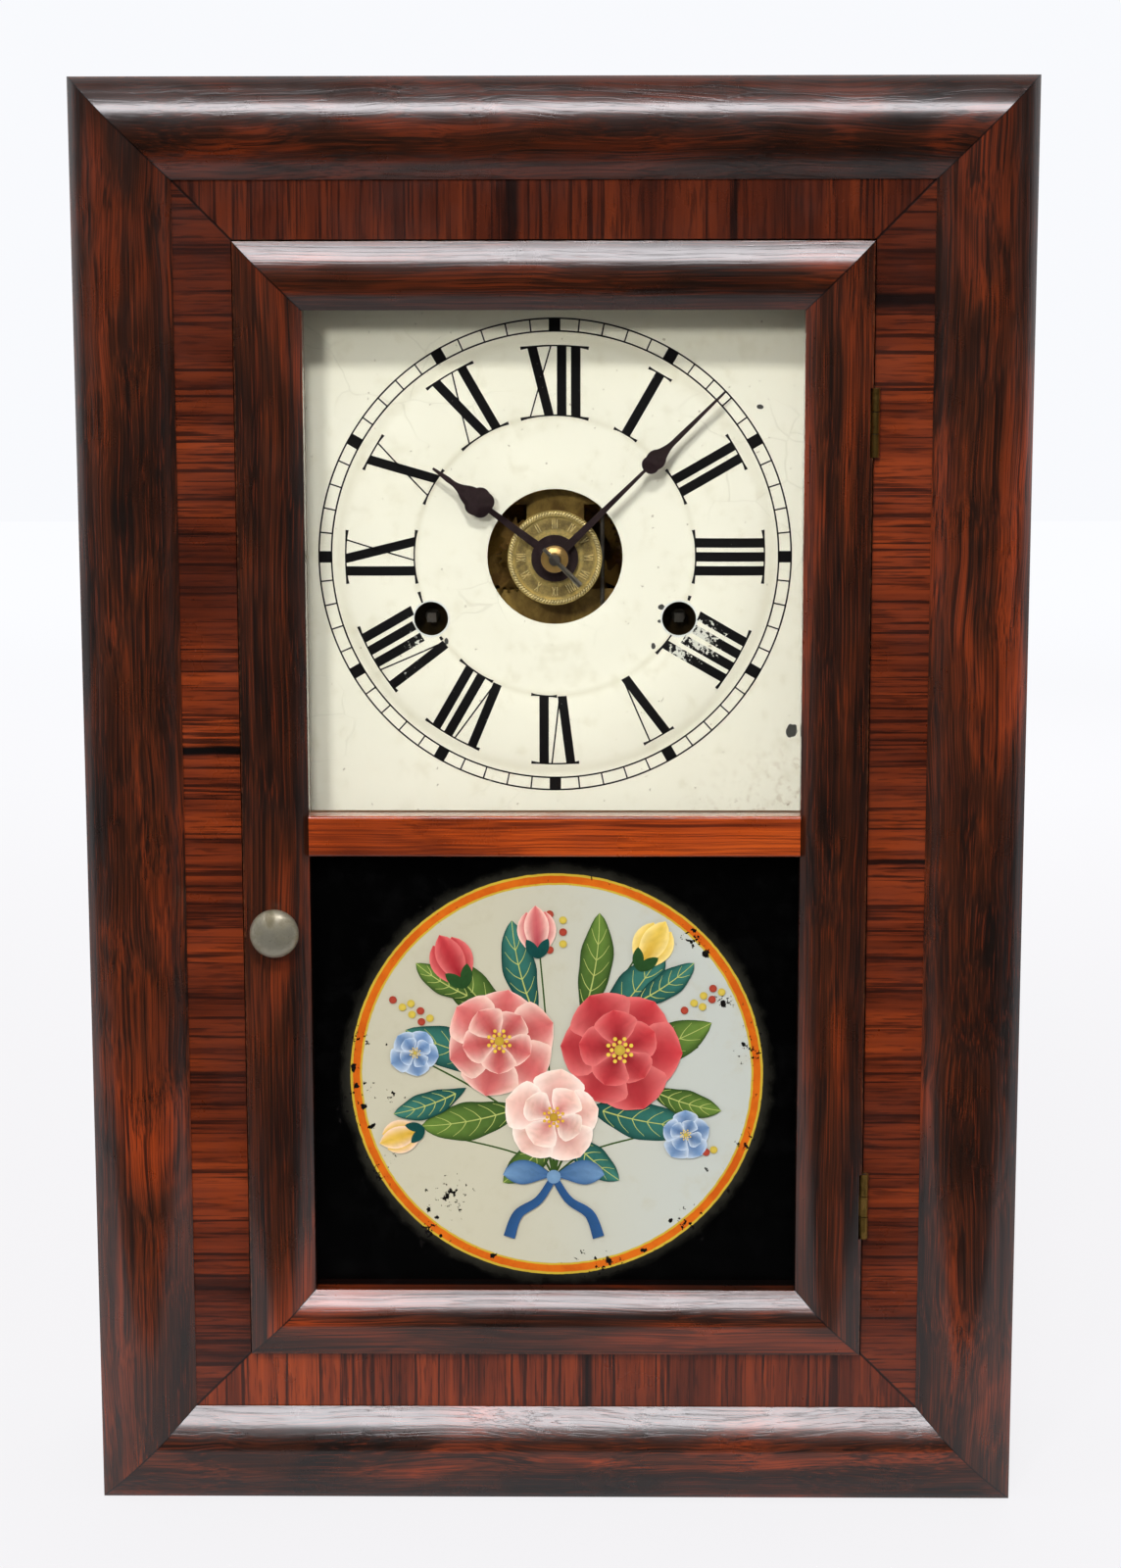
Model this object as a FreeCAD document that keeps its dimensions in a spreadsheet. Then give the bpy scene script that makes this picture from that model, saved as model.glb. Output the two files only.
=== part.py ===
"""A rectangular shelf clock with an ogee-moulded case, built from its real pieces.

Frame: X to the clock's right as one faces it, Y from its front to its back, Z up.
Origin: the middle of the base. Lengths are millimetres, angles degrees.
"""

import FreeCAD, Part
import math
import os
import sys

import Sketcher

SIZES = {
    # case
    "case_width": 306.0,
    "case_height": 470.0,
    "case_depth": 102.0,
    "side_thickness": 14.0,
    "end_thickness": 14.0,
    "back_thickness": 8.0,
    "frame_thickness": 13.0,
    "band_width": 18.6,
    "ogee_width": 32.0,
    "ogee_height": 8.5,
    # door
    "door_gap": 0.6,
    "door_rail_width": 21.6,
    "door_ogee_height": 6.5,
    "crossbar_height": 13.4,
    "crossbar_middle": 227.4,
    "pane_thickness": 2.0,
    "pane_gap": 0.4,
    "rebate_width": 5.0,
    "rebate_depth": 8.0,
    "strip_width": 4.0,
    # hinges
    "upper_hinge_middle": 361.5,
    "lower_hinge_middle": 102.5,
    "hinge_height": 22.0,
    "hinge_pin_radius": 0.7,
    "knuckle_radius": 1.4,
    "leaf_thickness": 0.9,
    "leaf_depth": 11.0,
    "knuckle_gap": 0.3,
    # turn latch
    "knob_radius": 8.0,
    "knob_length": 9.0,
    "knob_middle": 197.0,
    "shank_radius": 2.0,
    "hook_length": 18.0,
    "hook_width": 7.0,
    "hook_thickness": 1.5,
    "hook_gap": 0.4,
    # dial
    "dial_width": 188.0,
    "dial_height": 182.0,
    "dial_thickness": 0.8,
    "dial_middle": 316.4,
    "dial_setback": 24.0,
    "dial_hole_radius": 22.3,
    "dial_ring_inner": 45.5,
    "dial_ring_outer": 72.0,
    "dial_ring_height": 0.6,
    "winding_hole_radius": 5.6,
    "batten_width": 28.0,
    "batten_thickness": 10.0,
    "dial_lap": 5.0,
    # hands
    "minute_hand_length": 77.5,
    "hour_hand_length": 49.5,
    "minute_boss_radius": 5.0,
    "hour_boss_radius": 7.7,
    "hand_thickness": 0.8,
    "minute_hand_turn": -45.6,
    "hour_hand_turn": 53.5,
    "hand_gap": 0.9,
    "washer_radius": 4.5,
    "washer_height": 1.7,
    "hand_pin_length": 17.0,
    "hand_pin_radius": 1.0,
    "hand_pin_turn": -45.0,
    "alarm_disc_radius": 15.5,
    "alarm_disc_thickness": 1.0,
    "alarm_rim_height": 0.7,
    "alarm_rim_width": 1.8,
    "alarm_hub_radius": 5.4,
    # movement
    "plate_width": 112.0,
    "plate_top": 66.0,
    "plate_bottom": 64.0,
    "plate_thickness": 1.5,
    "plate_gap": 32.0,
    "plate_setback": 9.2,
    "pillar_radius": 3.0,
    "pillar_inset": 10.0,
    "pillar_foot_radius": 2.0,
    "nut_width": 7.0,
    "nut_thickness": 2.5,
    "arbor_radius": 1.2,
    "centre_arbor_radius": 1.8,
    "running_gap": 0.06,
    "end_gap": 0.4,
    "wheel_thickness": 1.2,
    "pinion_length": 4.0,
    "winding_across": 41.0,
    "winding_below": 20.5,
    "winding_square": 3.1,
    "winding_setback": 3.5,
    "winding_arbor_radius": 3.0,
    "spring_coil_turns": 5.0,
    "spring_strip": 0.6,
    "spring_radius": 21.0,
    "pipe_wall": 0.9,
    # pendulum and escapement
    "pendulum_across": 15.6,
    "suspension_above": 58.0,
    "pendulum_length": 201.0,
    "pendulum_rod_radius": 0.7,
    "pendulum_reach": 4.6,
    "bob_radius": 26.0,
    "bob_thickness": 9.0,
    "bob_rim": 2.0,
    "rating_nut_radius": 4.0,
    "escape_radius": 12.5,
    "pallet_gap": 1.5,
    "crutch_drop": 22.0,
    "crutch_radius": 0.7,
    "crutch_gap": 0.4,
    # striking and alarm
    "gong_middle": 96.0,
    "gong_radius": 44.0,
    "gong_wire": 2.6,
    "gong_turns": 4.0,
    "gong_lift": 10.0,
    "gong_base_radius": 11.0,
    "hammer_rod_radius": 0.9,
    "hammer_head_radius": 4.5,
    "hammer_head_length": 12.0,
    "hammer_gap": 1.5,
    "hammer_behind": 5.0,
    "alarm_across": 96.0,
    "alarm_middle": 78.0,
    "alarm_plate_width": 38.0,
    "alarm_plate_height": 48.0,
    "alarm_plate_gap": 16.0,
    "alarm_drum_radius": 13.0,
    "alarm_square_length": 9.0,
    # drawing helper: how far a cutting shape runs past what it cuts
    "overrun": 2.0,
}

COUNTS = {
    "centre_teeth": 60,
    "third_teeth": 60,
    "escape_teeth": 40,
    "time_great_teeth": 36,
    "time_second_teeth": 36,
    "strike_teeth": 32,
    "count_notches": 12,
    "cannon_leaves": 10,
    "minute_teeth": 30,
    "minute_leaves": 8,
    "hour_teeth": 32,
    "train_leaves": 8,
    "escape_leaves": 6,
    "crossings": 4,
    "fly_blades": 2,
}

# Each moulding's section from its inner lip to its outer edge: shares of width and height, and the bow
# of the edge that starts there, as a share of that edge's length, outward when positive.
OGEE_SHARES = (
    (1.0, 0.38, 0.18),
    (0.93, 0.44, 0.0),
    (0.92, 0.34, -0.12),
    (0.83, 0.52, 0.09),
    (0.46, 1.0, 0.11),
    (0.0, 0.14, 0.0),
)

# Half outlines of the hands from foot to tip: shares of the length along and of the boss radius across,
# and the bow of the edge that starts there, outward when positive.
MINUTE_HAND_SHARES = (
    (0.04, 0.28, 0.0),
    (0.53, 0.10, 0.24),
    (0.575, 0.56, 0.16),
    (0.63, 0.42, -0.06),
    (0.72, 0.17, 0.0),
    (1.0, 0.07, 0.0),
)
HOUR_HAND_SHARES = (
    (0.12, 0.18, 0.0),
    (0.53, 0.12, 0.24),
    (0.60, 0.57, 0.20),
    (0.69, 0.44, 0.04),
    (0.75, 0.29, -0.09),
    (0.87, 0.12, 0.0),
    (1.0, 0.05, 0.0),
)

# The knob's side from its neck to its crown: shares of its radius and of its length.
KNOB_SHARES = (
    (0.45, 0.0),
    (0.52, 0.18),
    (0.86, 0.35),
    (1.0, 0.52),
    (0.96, 0.72),
    (0.78, 0.88),
    (0.4, 0.98),
    (0.0, 1.0),
)

# The dial's pressed ring from its inner foot to its outer foot: shares of its width and of its height.
DIAL_RING_SHARES = (
    (0.0, 0.0),
    (0.2, 0.62),
    (0.5, 1.0),
    (0.8, 0.62),
    (1.0, 0.0),
)

# Where each arbor stands on the plates: shares of the plate width across and of the plate top up.
ARBOR_SHARES = {
    "time_second": (0.098, -0.409),
    "third": (-0.071, 0.333),
    "escape": (-0.036, 0.644),
    "strike_second": (-0.446, 0.091),
    "strike_pin": (-0.304, 0.394),
    "strike_fly": (-0.161, 0.636),
    "hammer": (-0.464, 0.667),
    "minute": (-0.14, 0.0),
}

# Where each wheel stands between the plates: shares of the gap, from the front plate to the back one.
LEVEL_SHARES = {
    "great": 0.86,
    "spring_front": 0.20,
    "spring_back": 0.78,
    "time_second": 0.10,
    "strike_second": 0.12,
    "centre": 0.52,
    "third": 0.32,
    "strike_pin": 0.66,
    "fly_front": 0.76,
    "fly_back": 0.96,
}

# Tooth form: shares of the module, the pitch diameter over the count of teeth. A tooth's half thickness
# is given at its root and at its tip; a pinion's leaves are slimmer than a wheel's teeth.
ADDENDUM_SHARE = 1.0
DEDENDUM_SHARE = 1.25
TOOTH_SHARES = (1.0, 0.3)
LEAF_SHARES = (0.5, 0.3)
RIM_SHARE = 1.2

# How far above level the bent pallet strip ends, seen from the escape wheel's arbor, in degrees.
PALLET_END_ANGLE = 16.0

# Straight runs in each turn of a wound strip.
SPIRAL_SIDES = 16

QUARTER_TURN = 90.0
FULL_TURN = 360.0

doc = FreeCAD.newDocument("shelf_clock")
sheet = doc.addObject("Spreadsheet::Sheet", "Sizes")
nodes = []
cuts = []


class Size:
    """A number, with the sheet expression that keeps a property equal to it."""

    def __init__(self, value, text):
        self.value = value
        self.text = text

    def __add__(self, other):
        other = as_size(other)
        return Size(self.value + other.value, f"({self.text} + {other.text})")

    def __sub__(self, other):
        other = as_size(other)
        return Size(self.value - other.value, f"({self.text} - {other.text})")

    def __mul__(self, other):
        other = as_size(other)
        return Size(self.value * other.value, f"({self.text} * {other.text})")

    def __truediv__(self, other):
        other = as_size(other)
        return Size(self.value / other.value, f"({self.text} / {other.text})")

    def __neg__(self):
        return Size(-self.value, f"(0 - {self.text})")

    __radd__ = __add__
    __rmul__ = __mul__

    def __rsub__(self, other):
        return as_size(other) - self

    def __rtruediv__(self, other):
        return as_size(other) / self


def as_size(number):
    """A plain number as a Size."""
    if isinstance(number, Size):
        return number
    return Size(float(number), f"({float(number):.9f})")


def root(size):
    """The square root of a Size."""
    return Size(math.sqrt(size.value), f"sqrt({size.text})")


def distance(start, end):
    """The length between two points, each a pair of Sizes."""
    across = as_size(end[0]) - start[0]
    up = as_size(end[1]) - start[1]
    return root(across * across + up * up)


def heading(start, end):
    """The angle in degrees, counterclockwise from the local X axis, from one point to another."""
    across = as_size(end[0]) - start[0]
    up = as_size(end[1]) - start[1]
    return Size(math.degrees(math.atan2(up.value, across.value)), f"atan2({up.text}; {across.text}) / 1deg")


def cosine(angle):
    """The cosine of an angle in degrees."""
    return Size(math.cos(math.radians(angle.value)), f"cos({angle.text})")


def tangent(angle):
    """The tangent of an angle in degrees."""
    return Size(math.tan(math.radians(angle.value)), f"tan({angle.text})")


class Sheet:
    """Every named size and count as an attribute, read from the document's sheet."""

    def __getattr__(self, name):
        return Size(float(sheet.get(name)), f"Sizes.{name}")


def fill_sheet():
    """Write each size and count to the sheet, with its name as the cell's alias."""
    for row, (name, value) in enumerate({**SIZES, **COUNTS}.items(), start=1):
        sheet.set(f"A{row}", name)
        sheet.set(f"B{row}", str(value))
        sheet.setAlias(f"B{row}", name)
    doc.recompute()


fill_sheet()
S = Sheet()


def bind(thing, path, size):
    """Keep one property of an object equal to a Size."""
    thing.setExpression(path, as_size(size).text)


def place(thing, x, y, z, rotation=None):
    """Put an object at a point given in Sizes, turned by a fixed rotation."""
    point = [as_size(value) for value in (x, y, z)]
    turn = rotation or FreeCAD.Rotation()
    thing.Placement = FreeCAD.Placement(FreeCAD.Vector(*[size.value for size in point]), turn)
    for axis, size in zip("xyz", point):
        bind(thing, f"Placement.Base.{axis}", size)
    return thing


def node(thing):
    """Mark an object as a sub-part that gets a file of its own."""
    nodes.append(thing)
    return thing


def new_body(label):
    """An empty body."""
    body = doc.addObject("PartDesign::Body", label)
    body.Label = label
    return body


def origin_feature(body, role):
    """One of a body's own origin planes or axes."""
    return next(item for item in body.Origin.OriginFeatures if item.Role == role)


def sketch_on(body, role, name, lift=None, turn=None):
    """A sketch on an origin plane, raised along its normal and turned about it."""
    sketch = body.newObject("Sketcher::SketchObject", f"{body.Label}_{name}")
    sketch.AttachmentSupport = [(origin_feature(body, role), "")]
    sketch.MapMode = "FlatFace"
    lift = as_size(lift or 0)
    turn = as_size(turn or 0)
    axis = FreeCAD.Vector(0, 0, 1)
    offset = FreeCAD.Vector(0, 0, lift.value)
    sketch.AttachmentOffset = FreeCAD.Placement(offset, FreeCAD.Rotation(axis, turn.value))
    bind(sketch, "AttachmentOffset.Base.z", lift)
    bind(sketch, "AttachmentOffset.Rotation.Angle", turn)
    return sketch


def constrain(sketch, constraint, size):
    """Add a constraint and bind its size."""
    index = sketch.addConstraint(constraint)
    bind(sketch, f"Constraints[{index}]", size)


def draw_circle(sketch, radius, x=0, y=0):
    """A circle with its centre and radius bound to Sizes."""
    x, y, radius = as_size(x), as_size(y), as_size(radius)
    centre = FreeCAD.Vector(x.value, y.value, 0)
    circle = sketch.addGeometry(Part.Circle(centre, FreeCAD.Vector(0, 0, 1), radius.value))
    constrain(sketch, Sketcher.Constraint("Radius", circle, radius.value), radius)
    constrain(sketch, Sketcher.Constraint("DistanceX", -1, 1, circle, 3, x.value), x)
    constrain(sketch, Sketcher.Constraint("DistanceY", -1, 1, circle, 3, y.value), y)


def edge_geometry(start, end, bow):
    """A straight edge, or an arc whose rise is a share of its chord, to the right when positive."""
    first = FreeCAD.Vector(start[0].value, start[1].value, 0)
    last = FreeCAD.Vector(end[0].value, end[1].value, 0)
    if not bow:
        return Part.LineSegment(first, last)
    chord = last - first
    middle = (first + last) * 0.5 + FreeCAD.Vector(chord.y, -chord.x, 0) * bow
    return Part.Arc(first, middle, last)


def draw_outline(sketch, corners):
    """A closed outline through (x, y) or (x, y, bow) corners, each corner and each arc bound."""
    points = [(as_size(corner[0]), as_size(corner[1])) for corner in corners]
    bows = [corner[2] if len(corner) > 2 else 0.0 for corner in corners]
    edges = []
    for index, bow in enumerate(bows):
        start = points[index]
        end = points[(index + 1) % len(points)]
        edge = sketch.addGeometry(edge_geometry(start, end, bow))
        at_start = sketch.getPoint(edge, 1)
        straight = math.hypot(at_start.x - start[0].value, at_start.y - start[1].value) < 1e-6
        edges.append((edge, 1, 2) if straight else (edge, 2, 1))
        if bow:
            radius = distance(start, end) * (0.125 / abs(bow) + 0.5 * abs(bow))
            constrain(sketch, Sketcher.Constraint("Radius", edge, radius.value), radius)
    for index, (edge, first, _) in enumerate(edges):
        before, _, last = edges[index - 1]
        sketch.addConstraint(Sketcher.Constraint("Coincident", before, last, edge, first))
        x, y = points[index]
        constrain(sketch, Sketcher.Constraint("DistanceX", -1, 1, edge, first, x.value), x)
        constrain(sketch, Sketcher.Constraint("DistanceY", -1, 1, edge, first, y.value), y)


def draw_rectangle(sketch, low, high):
    """A rectangle between two corners."""
    draw_outline(sketch, [low, (high[0], low[1]), high, (low[0], high[1])])


def parent_body(sketch):
    """The body that a sketch or feature belongs to."""
    return sketch.getParentGeoFeatureGroup()


def pad(sketch, length, midplane=False):
    """Add material along a sketch's normal."""
    feature = parent_body(sketch).newObject("PartDesign::Pad", f"{sketch.Name}_pad")
    feature.Profile = sketch
    feature.Midplane = midplane
    bind(feature, "Length", length)
    return feature


def pocket(sketch, length=None):
    """Cut right through both ways, or by a length along the sketch's normal."""
    body = parent_body(sketch)
    before = body.Tip
    feature = body.newObject("PartDesign::Pocket", f"{sketch.Name}_pocket")
    feature.Profile = sketch
    if length is None:
        feature.Type = "ThroughAll"
        feature.Midplane = True
    else:
        feature.Reversed = True
        bind(feature, "Length", length)
    cuts.append((before, feature))
    return feature


def revolve(sketch):
    """Turn a half section about the body's Z axis."""
    body = parent_body(sketch)
    feature = body.newObject("PartDesign::Revolution", f"{sketch.Name}_turned")
    feature.Profile = sketch
    feature.ReferenceAxis = (origin_feature(body, "Z_Axis"), [""])
    feature.Angle = FULL_TURN
    return feature


def repeat_round(feature, count):
    """Repeat a feature evenly round the body's Z axis."""
    body = parent_body(feature)
    pattern = body.newObject("PartDesign::PolarPattern", f"{feature.Name}_round")
    pattern.Originals = [feature]
    pattern.Axis = (origin_feature(body, "Z_Axis"), [""])
    pattern.Angle = FULL_TURN
    bind(pattern, "Occurrences", count)
    body.Tip = pattern
    return pattern


def board(label, low, high):
    """A plain board between two corners given in Sizes."""
    box = doc.addObject("Part::Box", label)
    box.Label = label
    for name, start, end in zip(("Length", "Width", "Height"), low, high):
        bind(box, name, as_size(end) - start)
    return place(box, *low)


def group(label, pieces):
    """Separate pieces of one kind as one sub-part."""
    compound = doc.addObject("Part::Compound", label)
    compound.Label = label
    compound.Links = pieces
    return node(compound)


def fused(label, pieces):
    """Pieces that are one solid on the real object."""
    union = doc.addObject("Part::MultiFuse", label)
    union.Label = label
    union.Shapes = pieces
    return node(union)


# Planes and limits that several sections share.
front_reach = S.door_ogee_height + S.knob_length
back_reach = S.case_depth - S.ogee_height
band_y = (front_reach - back_reach) / 2
back_y = band_y + back_reach
frame_back_y = band_y + S.frame_thickness
half_width = S.case_width / 2
frame_width = S.ogee_width + S.band_width
opening_half_width = half_width - frame_width
door_half_width = opening_half_width - S.door_gap
door_bottom = frame_width + S.door_gap
door_top = S.case_height - frame_width - S.door_gap
door_middle = (door_top + door_bottom) / 2
light_half_width = door_half_width - S.door_rail_width
light_bottom = door_bottom + S.door_rail_width
light_top = door_top - S.door_rail_width
crossbar_bottom = S.crossbar_middle - S.crossbar_height / 2
crossbar_top = crossbar_bottom + S.crossbar_height
pane_front_y = frame_back_y - S.rebate_depth
pane_back_y = pane_front_y + S.pane_thickness
dial_y = band_y + S.dial_setback
dial_back_y = dial_y + S.dial_thickness
plate_y = dial_back_y + S.plate_setback
plate_inner_y = plate_y + S.plate_thickness
back_plate_y = plate_inner_y + S.plate_gap
back_plate_outer_y = back_plate_y + S.plate_thickness
back_board_y = back_y - S.back_thickness

FACING_FRONT = FreeCAD.Rotation(FreeCAD.Vector(1, 0, 0), QUARTER_TURN)


def side_rotation(quarter_turns):
    """Turn a stick drawn along X, with Y inward and Z forward, to the top, right, bottom or left side."""
    top = FreeCAD.Rotation(
        FreeCAD.Vector(-1, 0, 0), FreeCAD.Vector(0, 0, -1), FreeCAD.Vector(0, -1, 0), "XYZ"
    )
    return FreeCAD.Rotation(FreeCAD.Vector(0, 1, 0), QUARTER_TURN * quarter_turns) * top


def mitred_stick(label, length, width, section):
    """A stick of one section along X, its ends cut at 45 degrees from the outer edge inward."""
    body = new_body(label)
    profile = sketch_on(body, "YZ_Plane", "section")
    draw_outline(profile, section)
    pad(profile, length, midplane=True)
    mitres = sketch_on(body, "XY_Plane", "mitres")
    for side in (-1, 1):
        outer = (length / 2 + S.overrun) * side
        inner = (length / 2 - width - S.overrun) * side
        corners = [(outer, -S.overrun), (outer, width + S.overrun), (inner, width + S.overrun)]
        draw_outline(mitres, corners)
    pocket(mitres)
    return body


def four_sided(labels, width, section, half_across, low, high, front_y):
    """Four mitred sticks round a rectangle: top, right, bottom, left."""
    middle = (low + high) / 2
    spots = [(as_size(0), high), (half_across, middle), (as_size(0), low), (-half_across, middle)]
    sticks = []
    for quarter, (label, (x, z)) in enumerate(zip(labels, spots)):
        length = half_across * 2 if quarter % 2 == 0 else high - low
        stick = mitred_stick(label, length, width, section)
        sticks.append(place(stick, x, front_y, z, side_rotation(quarter)))
    return sticks


def ogee_section(width, height, below):
    """The moulding's section: a flat back below the band plane, and the ogee above it."""
    top = [(width * across, height * up, bow) for across, up, bow in OGEE_SHARES]
    return [(0, -below), (width, -below), *top]


def make_case():
    """Side, top, bottom and back boards, the flat front frame and the ogee moulding on it."""
    inner_half = half_width - S.side_thickness
    inner_top = S.case_height - S.end_thickness
    node(board("case_left_side", (-half_width, frame_back_y, 0), (-inner_half, back_y, S.case_height)))
    node(board("case_right_side", (inner_half, frame_back_y, 0), (half_width, back_y, S.case_height)))
    node(board("case_top_board", (-inner_half, frame_back_y, inner_top), (inner_half, back_y, S.case_height)))
    node(board("case_bottom_board", (-inner_half, frame_back_y, 0), (inner_half, back_y, S.end_thickness)))
    node(board("back_board", (-inner_half, back_board_y, S.end_thickness), (inner_half, back_y, inner_top)))
    flat = [(0, -S.frame_thickness), (frame_width, -S.frame_thickness), (frame_width, 0), (0, 0)]
    names = ["front_frame_top", "front_frame_right", "front_frame_bottom", "front_frame_left"]
    frame = four_sided(names, frame_width, flat, half_width, as_size(0), S.case_height, band_y)
    cut_hinge_mortises(frame[1], S.case_height / 2, frame_width - S.leaf_thickness, frame_width + S.overrun)
    group("front_frame_rails", [frame[0], frame[2]])
    group("front_frame_stiles", [frame[1], frame[3]])
    names = ["outer_moulding_top", "outer_moulding_right", "outer_moulding_bottom", "outer_moulding_left"]
    section = ogee_section(S.ogee_width, S.ogee_height, as_size(0))
    ogee = four_sided(names, S.ogee_width, section, half_width, as_size(0), S.case_height, band_y)
    group("outer_moulding_rails", [ogee[0], ogee[2]])
    group("outer_moulding_stiles", [ogee[1], ogee[3]])


def cut_hinge_mortises(stick, middle, low, high):
    """Let the two hinge leaves into the edge of an upright stick."""
    sketch = sketch_on(stick, "XY_Plane", "hinge_mortises")
    for hinge_middle in (S.lower_hinge_middle, S.upper_hinge_middle):
        start = hinge_middle - middle - S.hinge_height / 2
        draw_rectangle(sketch, (start, low), (start + S.hinge_height, high))
    pocket(sketch)


def make_door():
    """Four mitred rails and stiles, the crossbar, two panes and the strips that hold them."""
    width = S.door_rail_width
    below = S.frame_thickness
    floor = S.rebate_depth - below
    rebated = [(0, -below), (width - S.rebate_width, -below), (width - S.rebate_width, floor), (width, floor)]
    section = rebated + ogee_section(width, S.door_ogee_height, below)[2:]
    names = ["door_rail_top", "door_stile_right", "door_rail_bottom", "door_stile_left"]
    sticks = four_sided(names, width, section, door_half_width, door_bottom, door_top, band_y)
    cut_hinge_mortises(sticks[1], door_middle, -S.overrun, S.leaf_thickness)
    shank_hole = sketch_on(sticks[3], "XY_Plane", "shank_hole")
    draw_circle(shank_hole, S.shank_radius + S.running_gap, door_middle - S.knob_middle, width / 2)
    pocket(shank_hole)
    for stick in sticks:
        node(stick)
    make_crossbar()
    make_panes()


def make_crossbar():
    """The bar between the clear pane and the painted one, rebated behind on both edges."""
    body = new_body("door_crossbar")
    section = sketch_on(body, "YZ_Plane", "section")
    tall = S.crossbar_height
    below = S.frame_thickness
    floor = S.rebate_depth - below
    lip = S.door_ogee_height * OGEE_SHARES[0][1]
    shoulder = lip * 0.7
    corners = [
        (S.rebate_width, -below),
        (tall - S.rebate_width, -below),
        (tall - S.rebate_width, floor),
        (tall, floor),
        (tall, shoulder, 0.2),
        (tall * 0.9, lip),
        (tall * 0.1, lip, 0.2),
        (0, shoulder),
        (0, floor),
        (S.rebate_width, floor),
    ]
    draw_outline(section, corners)
    pad(section, light_half_width * 2, midplane=True)
    node(place(body, 0, band_y, crossbar_bottom, side_rotation(2)))


def make_panes():
    """The clear pane above the crossbar, the painted pane below it, and their strips."""
    bite = S.rebate_width - S.pane_gap
    half_pane = light_half_width + bite
    lights = [
        ("dial_glass", crossbar_top - bite, light_top + bite),
        ("tablet_glass", light_bottom - bite, crossbar_bottom + bite),
    ]
    strips = []
    for label, low, high in lights:
        node(board(label, (-half_pane, pane_front_y, low), (half_pane, pane_back_y, high)))
        inner_low = low + S.strip_width
        inner_high = high - S.strip_width
        inner_half = half_pane - S.strip_width
        spans = [
            ("left", (-half_pane, low), (-inner_half, high)),
            ("right", (inner_half, low), (half_pane, high)),
            ("bottom", (-inner_half, low), (inner_half, inner_low)),
            ("top", (-inner_half, inner_high), (inner_half, high)),
        ]
        for side, start, end in spans:
            name = f"{label}_strip_{side}"
            strips.append(board(name, (start[0], pane_back_y, start[1]), (end[0], frame_back_y, end[1])))
    group("glazing_strips", strips)


hinge_x = door_half_width + S.knuckle_radius * 0.6
hinge_y = band_y - S.knuckle_radius - S.knuckle_gap / 2


def make_hinges():
    """Two butt hinges: case leaves with the outer knuckles, door leaves with the middle one, and pins."""
    case_leaves = []
    door_leaves = []
    pins = []
    for name, middle in (("lower", S.lower_hinge_middle), ("upper", S.upper_hinge_middle)):
        third = S.hinge_height / 3
        low = middle - S.hinge_height / 2
        outer_spans = [(low, low + third), (low + third * 2, low + S.hinge_height)]
        middle_span = [(low + third + S.knuckle_gap, low + third * 2 - S.knuckle_gap)]
        leaf_x = opening_half_width
        case_leaves.append(hinge_leaf(f"{name}_case_leaf", leaf_x, outer_spans, low))
        leaf_x = door_half_width - S.leaf_thickness
        door_leaves.append(hinge_leaf(f"{name}_door_leaf", leaf_x, middle_span, low))
        pin = doc.addObject("Part::Cylinder", f"{name}_hinge_pin")
        bind(pin, "Radius", S.hinge_pin_radius)
        bind(pin, "Height", S.hinge_height)
        pins.append(place(pin, hinge_x, hinge_y, low))
    group("hinge_case_leaves", case_leaves)
    group("hinge_door_leaves", door_leaves)
    group("hinge_pins", pins)


def hinge_leaf(label, leaf_x, spans, low):
    """A leaf let into the wood, with webs to its own knuckles and room for the other leaf's."""
    body = new_body(label)
    leaf_front = S.knuckle_radius + S.knuckle_gap
    leaf = sketch_on(body, "XY_Plane", "leaf")
    start = leaf_x - hinge_x
    draw_rectangle(leaf, (start, leaf_front), (start + S.leaf_thickness, leaf_front + S.leaf_depth))
    pad(leaf, S.hinge_height)
    for index, (bottom, top) in enumerate(spans):
        lift = bottom - low
        web = sketch_on(body, "XY_Plane", f"web_{index}", lift=lift)
        draw_rectangle(web, (start, 0), (start + S.leaf_thickness, leaf_front))
        pad(web, top - bottom)
        knuckle = sketch_on(body, "XY_Plane", f"knuckle_{index}", lift=lift)
        draw_circle(knuckle, S.knuckle_radius)
        pad(knuckle, top - bottom)
    bore = sketch_on(body, "XY_Plane", "pin_bore")
    draw_circle(bore, S.hinge_pin_radius + S.running_gap)
    pocket(bore)
    return place(body, hinge_x, hinge_y, low)


def make_latch():
    """The knob with its shank through the left stile, and the hook behind it, at rest turned clear."""
    knob_x = S.door_rail_width / 2 - door_half_width
    knob_back = S.door_ogee_height + S.hook_gap
    knob_depth = front_reach - knob_back
    hook_front = -(S.frame_thickness + S.hook_gap)
    hook_back = hook_front - S.hook_thickness
    knob = new_body("door_knob")
    half = sketch_on(knob, "XZ_Plane", "half_section")
    rim = S.knob_radius
    corners = [
        (0, hook_back),
        (S.shank_radius, hook_back),
        (S.shank_radius, knob_back),
        *[(rim * out, knob_back + knob_depth * along) for out, along in KNOB_SHARES],
    ]
    draw_outline(half, corners)
    revolve(half)
    node(place(knob, knob_x, band_y, S.knob_middle, FACING_FRONT))
    hook = new_body("latch_hook")
    plate = sketch_on(hook, "XY_Plane", "plate", lift=hook_back)
    wide = S.hook_width
    corners = [
        (-wide / 2, -wide / 2, 0.2),
        (wide / 2, -wide / 2, 0.0),
        (wide * 0.35, S.hook_length * 0.8, 0.2),
        (-wide * 0.35, S.hook_length * 0.8, 0.0),
    ]
    draw_outline(plate, corners)
    draw_circle(plate, S.shank_radius)
    pad(plate, S.hook_thickness)
    node(place(hook, knob_x, band_y, S.knob_middle, FACING_FRONT))


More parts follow.
